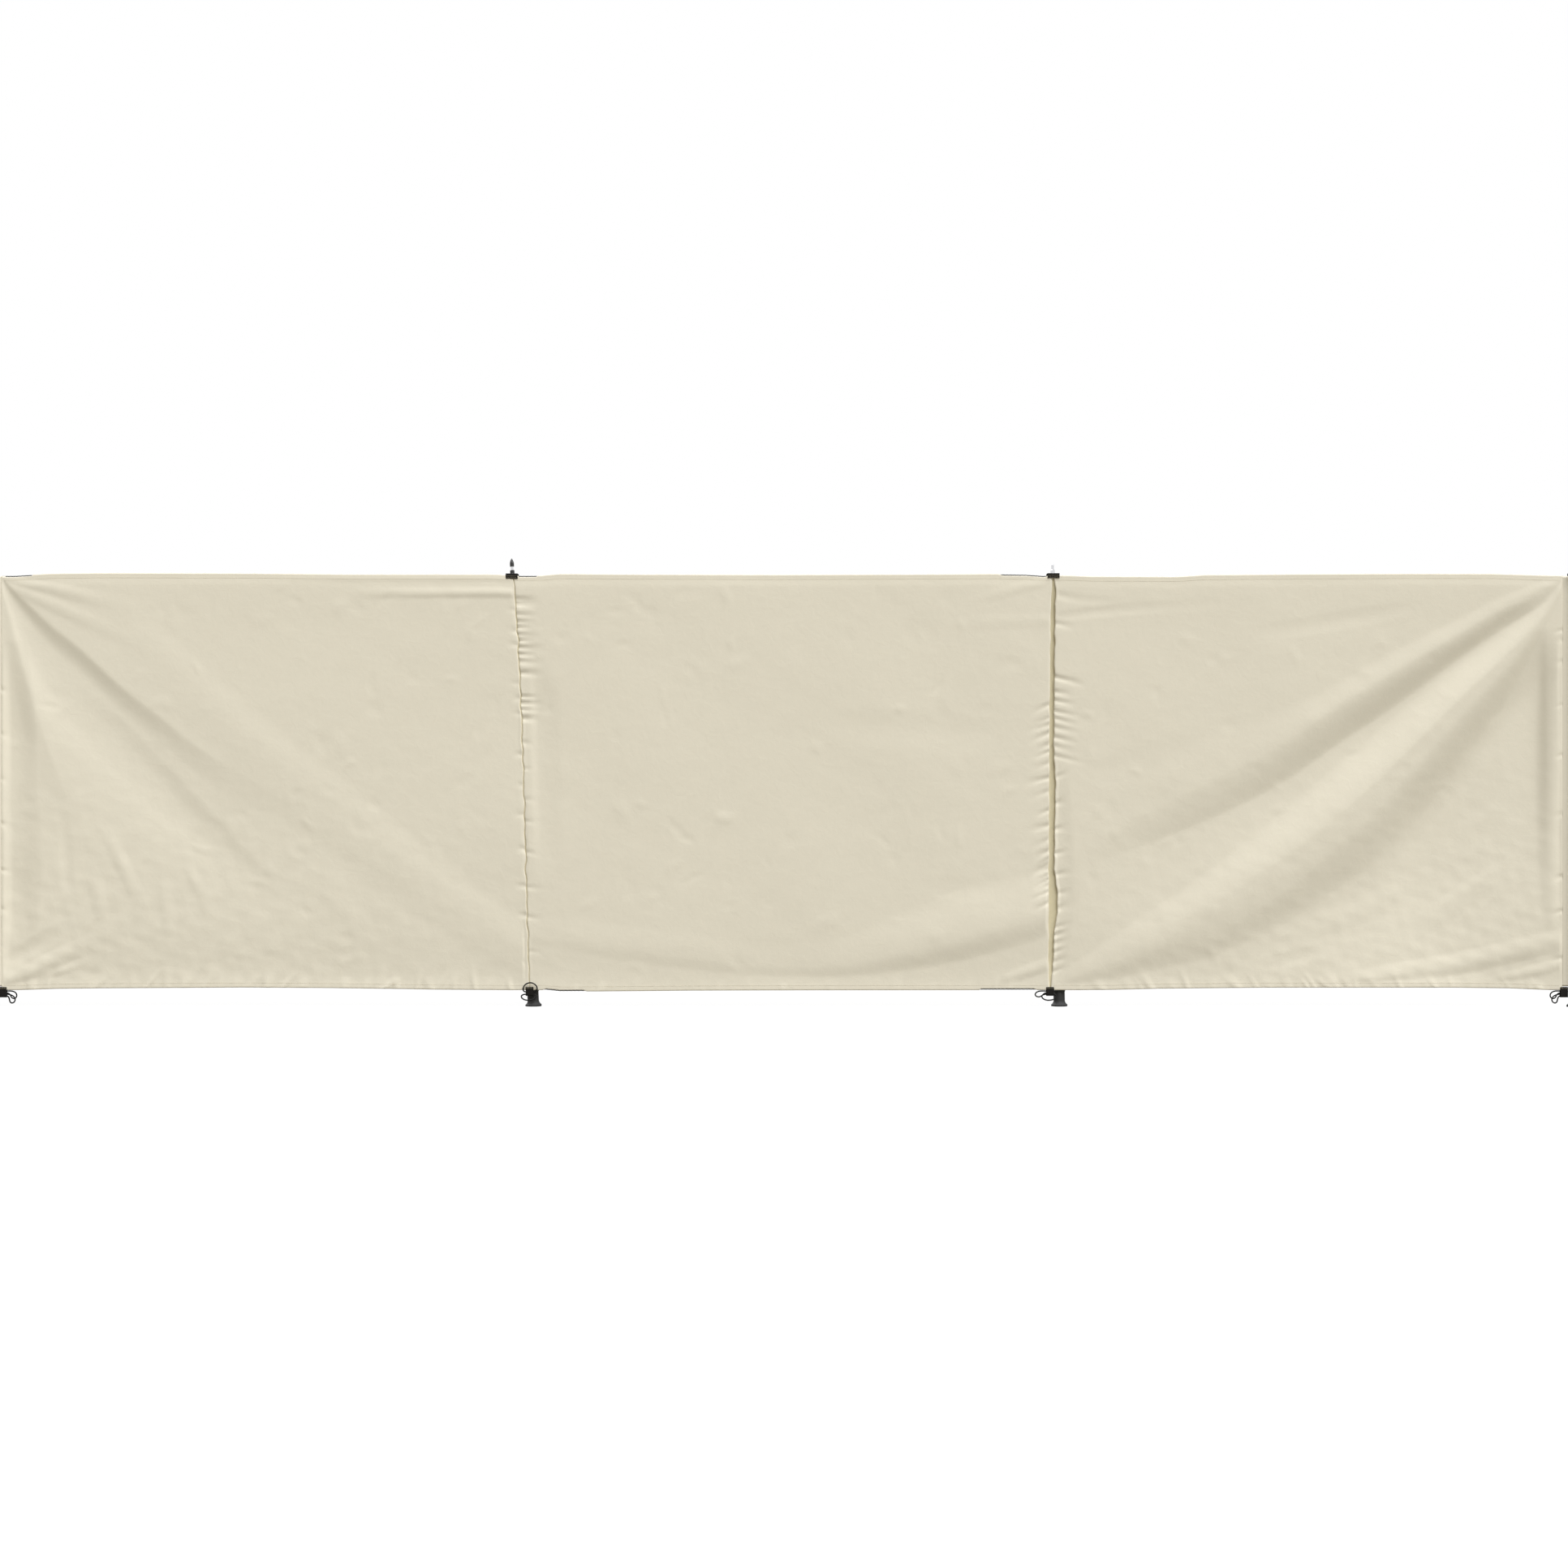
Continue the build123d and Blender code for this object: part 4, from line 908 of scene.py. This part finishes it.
def add_floor():
    """A broad floor that looks white and sends a warm light back."""
    shape = bmesh.new()
    bmesh.ops.create_grid(shape, x_segments=1, y_segments=1, size=30.0)
    floor = linked("floor", mesh_of("floor", shape))
    material, tree, shader, add = started("white_floor", (0.26, 0.245, 0.21), 0.9)
    shader.inputs["Specular IOR Level"].default_value = 0.0
    path = add("ShaderNodeLightPath")
    glow = add("ShaderNodeEmission", values={"Color": (1.0, 1.0, 1.0, 1.0), "Strength": 1.0})
    bright = add("ShaderNodeBsdfDiffuse", values={"Color": (0.97, 0.97, 0.97, 1.0)})
    soft = add("ShaderNodeMixShader", {1: bright.outputs["BSDF"], 2: glow.outputs["Emission"]}, {"Fac": 0.92})
    mixed = add("ShaderNodeMixShader", {"Fac": path.outputs["Is Camera Ray"], 1: shader.outputs["BSDF"],
                                        2: soft.outputs["Shader"]})
    tree.links.new(mixed.outputs["Shader"], tree.nodes["Material Output"].inputs["Surface"])
    floor.data.materials.append(material)


class WINDBREAK_OT_stage(bpy.types.Operator):
    """Camera, soft overhead light and a white floor."""

    bl_idname = "windbreak.stage"
    bl_label = "Camera, light and floor"

    def execute(self, context):
        scene = context.scene
        add_camera(scene)
        add_lights(scene.windbreak)
        scene.world = white_room(scene.windbreak)
        add_floor()
        scene.view_settings.view_transform = "Standard"
        return {"FINISHED"}


class WINDBREAK_OT_peg_loops(bpy.types.Operator):
    """Black elastic loops for the ground pegs, two at each lower tab."""

    bl_idname = "windbreak.peg_loops"
    bl_label = "Peg loops"

    def execute(self, context):
        settings = context.scene.windbreak
        finish = finish_of(context, "black_elastic")
        for station in STATIONS:
            flip = -1 if station == "left_end" else 1
            for name, (route, length) in zip(("upper", "lower"), LOOPS[station]):
                line = bpy.data.curves.new(f"elastic_loop_{name}_{station}", "CURVE")
                line.dimensions = "3D"
                line.bevel_depth = settings.elastic_diameter / 2
                line.bevel_resolution = 4
                line.resolution_u = 8
                line.use_fill_caps = True
                spline = line.splines.new("NURBS")
                spline.points.add(len(route) - 1)
                for point, (x, y, z) in zip(spline.points, route):
                    point.co = (SEAMS[station]["tab"] * MM + flip * x * MM, y * MM, CLOTH_LOW + z * MM, 1.0)
                spline.order_u = 3
                spline.use_endpoint_u = True
                loop = linked(line.name, line)
                take(loop, finish, "elastic", f"peg_loop_{name}_{station}")
                exit_point = tuple(spline.points[0].co[:3])
        return {"FINISHED"}


def hem_rows(top):
    """Set-back and height of the hem's rows from the front round the cord and down the back, in metres."""
    edge = CLOTH_TOP if top else CLOTH_LOW
    side = 1 if top else -1
    rows = []
    for share in np.linspace(0, 1, 8)[1:]:
        turn = math.pi * share
        rows.append((HEM_ROLL * (1 - math.cos(turn)), edge - side * HEM_ROLL * (1 - math.sin(turn))))
    for share in np.linspace(0, 1, 7)[1:]:
        rows.append((2 * HEM_ROLL + (HEM_GAP - 2 * HEM_ROLL) * smooth(share),
                     edge - side * (HEM_ROLL + (HEM_DEPTH - HEM_ROLL) * share)))
    rows.append((TAIL_GAP, edge - side * (HEM_DEPTH + HEM_TAIL)))
    return rows


def notch_of(bay, x, top):
    """How far the hem's edge is cut back at x, in metres."""
    cut = np.zeros_like(x)
    for first, last in (TOP_NOTCHES if top else LOW_NOTCHES)[bay]:
        inside = np.minimum(x - first * MM, last * MM - x)
        cut = np.maximum(cut, NOTCH_DEPTH * np.clip(inside / NOTCH_RIM, 0, 1))
    return cut


def panel_layout(bay, settings):
    """Columns across and rows along the cloth of a bay, with each row's set-back, height and place on the roll."""
    left, right = BAYS[bay]
    width = abs(SEAMS[right]["low"] - SEAMS[left]["low"]) * MM
    columns = grown_steps(width, settings.cloth_step, 0.7 * MM, 1.22)
    front = grown_steps(CLOTH_TOP - CLOTH_LOW - 2 * HEM_ROLL, settings.cloth_step, 1.6 * MM, 1.12)
    heights = CLOTH_LOW + HEM_ROLL + front * (CLOTH_TOP - CLOTH_LOW - 2 * HEM_ROLL)
    low = hem_rows(False)[::-1]
    top = hem_rows(True)
    back = np.array([r[0] for r in low] + [0.0] * len(heights) + [r[0] for r in top])
    height = np.array([r[1] for r in low] + list(heights) + [r[1] for r in top])
    along = np.concatenate([[0], np.cumsum(np.hypot(np.diff(back), np.diff(height)))])
    return columns, back, height, along


def cloth_point(bay, x, z, back, settings):
    """Points of the cloth of a bay at x and z, on the front or on the turned-back hem."""
    flat_z = np.clip(z, CLOTH_LOW, CLOTH_TOP)
    rise = cloth_rise(bay, x, flat_z, settings.fold_depth)
    rise *= np.where(rise > 0, 1 - np.clip(back / (2 * HEM_ROLL), 0, 1), 1)
    return np.column_stack([x, back - rise + edge_turn(bay, x, flat_z), z + edge_drift(x, flat_z)])


class WINDBREAK_OT_panels(bpy.types.Operator):
    """The three cloth panels, each one sheet with its folds, puckers and hems."""

    bl_idname = "windbreak.panels"
    bl_label = "Cloth panels"

    def execute(self, context):
        settings = context.scene.windbreak
        finish = finish_of(context, "cream_cloth")
        for bay, (left, right) in BAYS.items():
            columns, back, height, along = panel_layout(bay, settings)

            def place(column, row, bay=bay, left=left, right=right, columns=columns, back=back, height=height,
                      along=along):
                z = height[row]
                flat_z = np.clip(z, CLOTH_LOW, CLOTH_TOP)
                first = panel_edge(left, 1, flat_z)
                last = panel_edge(right, -1, flat_z)
                x = first + (last - first) * columns[column]
                for top, edge, side in ((True, CLOTH_TOP, 1), (False, CLOTH_LOW, -1)):
                    cut = notch_of(bay, x, top)
                    near = np.clip(1 - side * (edge - z) / (HEM_DEPTH + NOTCH_DEPTH), 0, 1)
                    z = z - side * cut * near
                slack = np.where((back[row] > 0) & (cut > 0), NOTCH_ROLL, 1.0)
                points = cloth_point(bay, x, z, back[row] * slack, settings)
                return points, x, along[row]

            panel = grid_mesh(f"cloth_{bay}", len(columns) - 1, len(height) - 1, place)
            take(panel, finish, "cloth", f"panel_{bay}")
        return {"FINISHED"}


def sleeve_keys(station, z, settings):
    """Plan of a sleeve at each height: key points of its cloth from one sewn edge round the pole to the other."""
    seam = SEAMS[station]
    end = station.endswith("end")
    sx, px = seam_x(station, z), pole_x(station, z)
    py = seam["back"] * MM
    step = math.radians((300 if end else 290) / (SLEEVE_TURNS - 1))
    radius = settings.sleeve_radius * 3 / (2 + math.cos(step))
    if end:
        side = 1 if station == "left_end" else -1
        first, second = (0.9, -2.6) if side > 0 else (0.0, -0.5)
        facing = 0.0 if side > 0 else math.pi
        angles = [facing - side * (math.radians(30) + i * step) for i in range(SLEEVE_TURNS)]
        start = [(sx + side * 3 * MM, 1.2 * MM), (sx, first * MM), (sx - side * 9 * MM, second * MM)]
        finish = [(sx - side * 9 * MM, 4.4 * MM), (sx, 1.5 * MM), (sx + side * 6 * MM, 1.2 * MM),
                  (sx + side * 13 * MM, 1.2 * MM)]
    else:
        before, after = half_gap(station, -1, z), half_gap(station, 1, z)
        share = (z - CLOTH_LOW) / (CLOTH_TOP - CLOTH_LOW)
        deep = seam["groove"] * MM * (0.4 + 0.6 * calm_at_ends(share))
        turn = seam["turn"] * MM
        facing = np.arctan2(-py, sx - px)
        angles = [facing - math.radians(35) - i * step for i in range(SLEEVE_TURNS)]
        crease = sx + after - 0.5 * MM
        start = [(sx - before - 12 * MM, 1.4 * MM), (sx - before - 6 * MM, 1.5 * MM), (sx - before - 1.5 * MM, turn),
                 (sx - before, deep * 0.85), (sx - before * 0.4, deep), (crease + 1.2 * MM, deep),
                 (crease + 1.6 * MM, deep + 0.8 * MM), (crease + 0.4 * MM, deep + 2.2 * MM)]
        finish = [(crease + 1.2 * MM, deep + 2.4 * MM), (crease + 0.4 * MM, deep + 1.4 * MM),
                  (crease, deep + 0.3 * MM), (sx + after, deep * 0.8), (sx + after + 1.5 * MM, turn),
                  (sx + after + 6 * MM, 1.5 * MM), (sx + after + 12 * MM, 1.4 * MM)]
    around = [(px + radius * np.cos(angle), py + radius * np.sin(angle)) for angle in angles]
    return np.array([[a + 0 * z, b + 0 * z] for a, b in start + around + finish])


def behind_panels(station, x, y, z, settings):
    """Set-backs of sewn cloth kept just behind the panels beside a seam."""
    kept = y.copy()
    for bay, (left, right) in BAYS.items():
        if station not in (left, right):
            continue
        side = 1 if station == left else -1
        over = side * (x - panel_edge(station, side, z)) > 0.2 * MM
        if over.any():
            panel = cloth_point(bay, x[over], z[over], np.zeros(over.sum()), settings)[:, 1]
            kept[over] = np.maximum(y[over], panel + 0.5 * MM)
    return kept


class WINDBREAK_OT_sleeves(bpy.types.Operator):
    """The cloth sleeves round the poles, sewn into the seams."""

    bl_idname = "windbreak.sleeves"
    bl_label = "Pole sleeves"

    def execute(self, context):
        settings = context.scene.windbreak
        for number, station in enumerate(STATIONS):
            end = station.endswith("end")
            # Inner sleeves take the cloth with painted shade in the groove of the seam
            finish = finish_of(context, "cream_cloth" if end else "sleeve_cloth")
            low, top = (end_mm * MM for end_mm in (END_SLEEVE if end else INNER_SLEEVE))
            inner = np.linspace(low, top, SLEEVE_ROWS)
            height = np.concatenate([[low + SLEEVE_TURNED, low + 0.8 * MM], inner,
                                     [top - 0.8 * MM, top - SLEEVE_TURNED]])
            inset = np.concatenate([[1.1, 1.0], np.zeros(len(inner)), [1.0, 1.1]]) * MM
            share = np.linspace(0, 1, SLEEVE_COLUMNS + 1)
            strip = 1 - plateau(share, 0.24, 0.06)
            reach = 0.0 if end else 21.0 * MM
            centre = (low + top) / 2
            spread = (height - centre) / (top - centre) * reach
            tall = height[None, :] + strip[:, None] * spread[None, :]
            keys = np.array([sleeve_keys(station, z, settings) for z in tall])
            weights = spline_weights(SLEEVE_COLUMNS + 1, keys.shape[1])
            plan = np.einsum("ck,ckdr->crd", weights, keys)
            middle = np.array([pole_x(station, height), 0 * height + SEAMS[station]["back"] * MM]).T

            def place(column, row, plan=plan, middle=middle, tall=tall, inset=inset, number=number, station=station):
                share = column / SLEEVE_COLUMNS
                point = plan[column, row]
                out = point - middle[row]
                far = np.linalg.norm(out, axis=1)
                round_pole = plateau(share, 0.28, 0.08)
                z = tall[column, row]
                arc = share * SLEEVE_ARC
                crush = 0.55 * ripple(arc, z, 30 + number, 0.05) + 0.5 * ripple(arc * 0.3, z, 40 + number, 0.03)
                drape = 0.6 * ripple(arc * 2.2, z * 0.12, 50 + number, 0.09)
                lift = (np.clip(crush + drape + 0.5, -0.9, 1.4) * MM - inset[row]) * round_pole
                moved = point + out / np.maximum(far, 1e-6)[:, None] * lift[:, None]
                y = behind_panels(station, moved[:, 0], moved[:, 1], z, settings) + inset[row] * (1 - round_pole)
                points = np.column_stack([moved[:, 0], y, z])
                return points, arc, z

            sleeve = grid_mesh(f"cloth_sleeve_{station}", SLEEVE_COLUMNS, len(height) - 1, place)
            take(sleeve, finish, "cloth", f"sleeve_{station}")
        return {"FINISHED"}


class WINDBREAK_OT_hem_cords(bpy.types.Operator):
    """Thin twisted cords that run taut through the hems and lie bare at the cut-outs."""

    bl_idname = "windbreak.hem_cords"
    bl_label = "Hem cords"

    def execute(self, context):
        finish = finish_of(context, "twisted_cord")
        for name, z in (("top_hem_cords", CLOTH_TOP - HEM_ROLL), ("bottom_hem_cords", CLOTH_LOW + HEM_ROLL)):
            for bay, (left, right) in BAYS.items():
                first = float(seam_x(left, z)) + 3 * MM
                last = float(seam_x(right, z)) - 3 * MM
                rows = int((last - first) / (2.4 * MM))
                sides = 12

                def place(column, row, first=first, last=last, rows=rows, z=z):
                    x = first + (last - first) * row / rows
                    angle = 2 * math.pi * column / sides
                    lay = 2 * math.pi * x / (11 * MM)
                    radius = HEM_CORD_RADIUS * (0.9 + 0.13 * np.cos(3 * (angle - lay / 3)))
                    y = HEM_ROLL + radius * np.cos(angle)
                    points = np.column_stack([x, y, z + radius * np.sin(angle) + edge_drift(x, z)])
                    return points, column / sides, x

                cord = grid_mesh(f"twisted_{name}_{bay}", sides, rows, place, closed=True)
                take(cord, finish, "hem_cord", name)
        return {"FINISHED"}


def strap(name, path, centre, width, thickness, lean, hole=None):
    """A webbing strap along a path of (set-back, height) keys, with a hole in it if one is given."""
    keys = np.array(path) * MM
    count = 48
    line = spline_weights(count + 1, len(keys)) @ keys
    along = np.concatenate([[0], np.cumsum(np.linalg.norm(np.diff(line, axis=0), axis=1))])
    columns = 18

    def place(column, row):
        across = (column / columns - 0.5) * width
        y, z = line[row].T
        x = centre + across + lean * (z - CLOTH_TOP)
        return np.column_stack([x, y, z]), across, along[row]

    made = grid_mesh(name, columns, count, place)
    if hole:
        shape = bmesh.new()
        shape.from_mesh(made.data)
        inside = [f for f in shape.faces if (f.calc_center_median() - Vector(hole[0])).length < hole[1]]
        bmesh.ops.delete(shape, geom=inside, context="FACES")
        shape.to_mesh(made.data)
        shape.free()
    thick = made.modifiers.new("thickness", "SOLIDIFY")
    thick.thickness = thickness
    thick.offset = 0.0
    soft = made.modifiers.new("soft_edges", "BEVEL")
    soft.width = 0.45 * MM
    soft.segments = 2
    soft.limit_method = "ANGLE"
    return made


def stitch_row(shape, start, end, length, radius):
    """Adds a row of short rounded stitches between two points."""
    start, end = Vector(start), Vector(end)
    run = end - start
    count = max(1, int(run.length / length))
    turn = run.to_track_quat("Z", "Y").to_matrix().to_4x4()
    for i in range(count):
        made = bmesh.ops.create_cone(shape, cap_ends=True, segments=6, radius1=radius, radius2=radius,
                                     depth=length * 0.72)
        turn.translation = start + run * ((i + 0.5) / count)
        bmesh.ops.transform(shape, matrix=turn, verts=made["verts"])


def stitched_object(name, shape, finish, slot):
    """Makes an object of the stitches gathered in a bmesh."""
    mesh = mesh_of(name, shape)
    mesh.polygons.foreach_set("use_smooth", np.ones(len(mesh.polygons), bool))
    return take(linked(name, mesh), finish, slot)


def sew_tab(context, node, path, centre, width, threads, inset, stitch, radius, lean=0.0, hole=None):
    """A webbing tab that stands for a node, with rows of thread across its front and its back."""
    tab = strap(f"webbing_{node}", path, centre, width, context.scene.windbreak.webbing_thickness, lean, hole)
    take(tab, finish_of(context, "black_webbing"), "webbing", node)
    shape = bmesh.new()
    reach = width / 2 - inset
    for z in threads:
        for y in (path[0][0] - THREAD_OUT, path[-1][0] + THREAD_OUT):
            stitch_row(shape, (centre - reach, y * MM, z * MM), (centre + reach, y * MM, z * MM), stitch, radius)
    stitched_object(f"stitching_{node}", shape, finish_of(context, "tab_thread"), "webbing")


class WINDBREAK_OT_top_tabs(bpy.types.Operator):
    """Webbing tabs over the pole tops, sewn to the cloth's upper edge."""

    bl_idname = "windbreak.top_tabs"
    bl_label = "Top tabs"

    def execute(self, context):
        for station in STATIONS:
            low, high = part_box(f"top_tab_{station}")
            front, back = low.y / MM + TAB_HALF, high.y / MM - TAB_HALF
            foot, crown = low.z / MM, high.z / MM - TAB_HALF
            middle = SEAMS[station]["back"]
            path = [(front, foot), (front, foot + 4), (front, crown - 2), (front + 0.6, crown + 0.2),
                    (front + 5, crown), (middle - 8, crown), (middle, crown), (middle + 8, crown), (back - 5, crown),
                    (back - 0.6, crown + 0.2), (back, crown - 2), (back, foot + 4), (back, foot)]
            pole_low, pole_top = SEAMS[station]["pole"]
            lean = (pole_top - pole_low) * MM / CLOTH_TOP
            hole = ((float(pole_x(station, crown * MM)), middle * MM, crown * MM), 8.2 * MM)
            sew_tab(context, f"top_tab_{station}", path, (low.x + high.x) / 2, 34.5 * MM, (foot + 2.6, foot + 7.6),
                    3 * MM, 3.4 * MM, 0.38 * MM, lean, hole)
        return {"FINISHED"}


class WINDBREAK_OT_bottom_tabs(bpy.types.Operator):
    """Webbing tabs folded round the lower hem, holding the peg loops."""

    bl_idname = "windbreak.bottom_tabs"
    bl_label = "Bottom tabs"

    def execute(self, context):
        for station in STATIONS:
            low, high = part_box(f"bottom_tab_{station}")
            front, back = low.y / MM + TAB_HALF, high.y / MM - TAB_HALF
            foot, crown = low.z / MM + TAB_HALF, high.z / MM
            middle = (front + back) / 2
            path = [(front, crown), (front, crown - 8), (front, crown - 16), (front, foot + 5), (front + 0.2, foot),
                    (middle, foot - 0.3), (back - 0.2, foot), (back, foot + 5), (back, crown - 16), (back, crown - 8),
                    (back, crown)]
            width = high.x - low.x - 0.5 * MM
            sew_tab(context, f"bottom_tab_{station}", path, (low.x + high.x) / 2, width, (crown - 3.8,), 1.5 * MM,
                    3.2 * MM, 0.5 * MM)
        return {"FINISHED"}


class WINDBREAK_OT_stitching(bpy.types.Operator):
    """Rows of thread along the hems."""

    bl_idname = "windbreak.stitching"
    bl_label = "Hem stitching"

    def execute(self, context):
        settings = context.scene.windbreak
        thread = finish_of(context, "hem_thread")
        for bay, (left, right) in BAYS.items():
            shape = bmesh.new()
            for z in (CLOTH_TOP - HEM_DEPTH + 2 * MM, CLOTH_LOW + HEM_DEPTH - 2 * MM):
                first = float(seam_x(left, z)) + 8 * MM
                last = float(seam_x(right, z)) - 8 * MM
                count = int((last - first) / settings.stitch_length)
                x = np.linspace(first, last, count + 1)
                points = cloth_point(bay, x, np.full_like(x, z), np.zeros_like(x), settings)
                points[:, 1] -= 0.1 * MM
                for a, b in zip(points[:-1], points[1:]):
                    stitch_row(shape, a, b, float(np.linalg.norm(b - a)) * 0.999, 0.32 * MM)
            stitched_object(f"hem_stitching_{bay}", shape, thread, "cloth")
        return {"FINISHED"}


class WINDBREAK_OT_fittings(bpy.types.Operator):
    """Finishes of the poles, plugs, spikes, caps, eyelets and feet."""

    bl_idname = "windbreak.fittings"
    bl_label = "Poles and fittings"

    def execute(self, context):
        finishes = (("pole_plug_right_inner", "spike_steel"), ("pole_plug_", "black_plastic"), ("pole_", "pole_steel"),
                    ("spike_cap_", "black_plastic"), ("spike_", "spike_steel"), ("top_eyelet_", "eyelet_metal"),
                    ("foot_", "foot_rubber"))
        for node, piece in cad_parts.items():
            for start, finish in finishes:
                if node.startswith(start):
                    material = finish_of(context, finish)
                    piece.data.materials.clear()
                    piece.data.materials.append(material)
                    break
        return {"FINISHED"}


class WINDBREAK_PT_panel(bpy.types.Panel):
    """Lists the windbreak's builders and settings in the sidebar."""

    bl_idname = "WINDBREAK_PT_panel"
    bl_label = "Beach Windbreak"
    bl_space_type = "VIEW_3D"
    bl_region_type = "UI"
    bl_category = "Windbreak"

    def draw(self, context):
        for name in WindbreakSettings.__annotations__:
            self.layout.prop(context.scene.windbreak, name)
        for operator in OPERATORS:
            self.layout.operator(operator.bl_idname)


OPERATORS = (
    WINDBREAK_OT_stage,
    WINDBREAK_OT_peg_loops,
    WINDBREAK_OT_panels,
    WINDBREAK_OT_sleeves,
    WINDBREAK_OT_hem_cords,
    WINDBREAK_OT_top_tabs,
    WINDBREAK_OT_bottom_tabs,
    WINDBREAK_OT_stitching,
    WINDBREAK_OT_fittings,
)
CLASSES = (WindbreakSettings, *OPERATORS, WINDBREAK_PT_panel)


def register():
    for made in CLASSES:
        bpy.utils.register_class(made)
    bpy.types.Scene.windbreak = bpy.props.PointerProperty(type=WindbreakSettings)


def unregister():
    del bpy.types.Scene.windbreak
    for made in reversed(CLASSES):
        bpy.utils.unregister_class(made)


def main():
    register()
    bpy.ops.windbreak.stage()
    bpy.ops.windbreak.peg_loops()
    bpy.ops.windbreak.panels()
    bpy.ops.windbreak.sleeves()
    bpy.ops.windbreak.hem_cords()
    bpy.ops.windbreak.top_tabs()
    bpy.ops.windbreak.bottom_tabs()
    bpy.ops.windbreak.stitching()
    bpy.ops.windbreak.fittings()


if __name__ == "__main__":
    main()
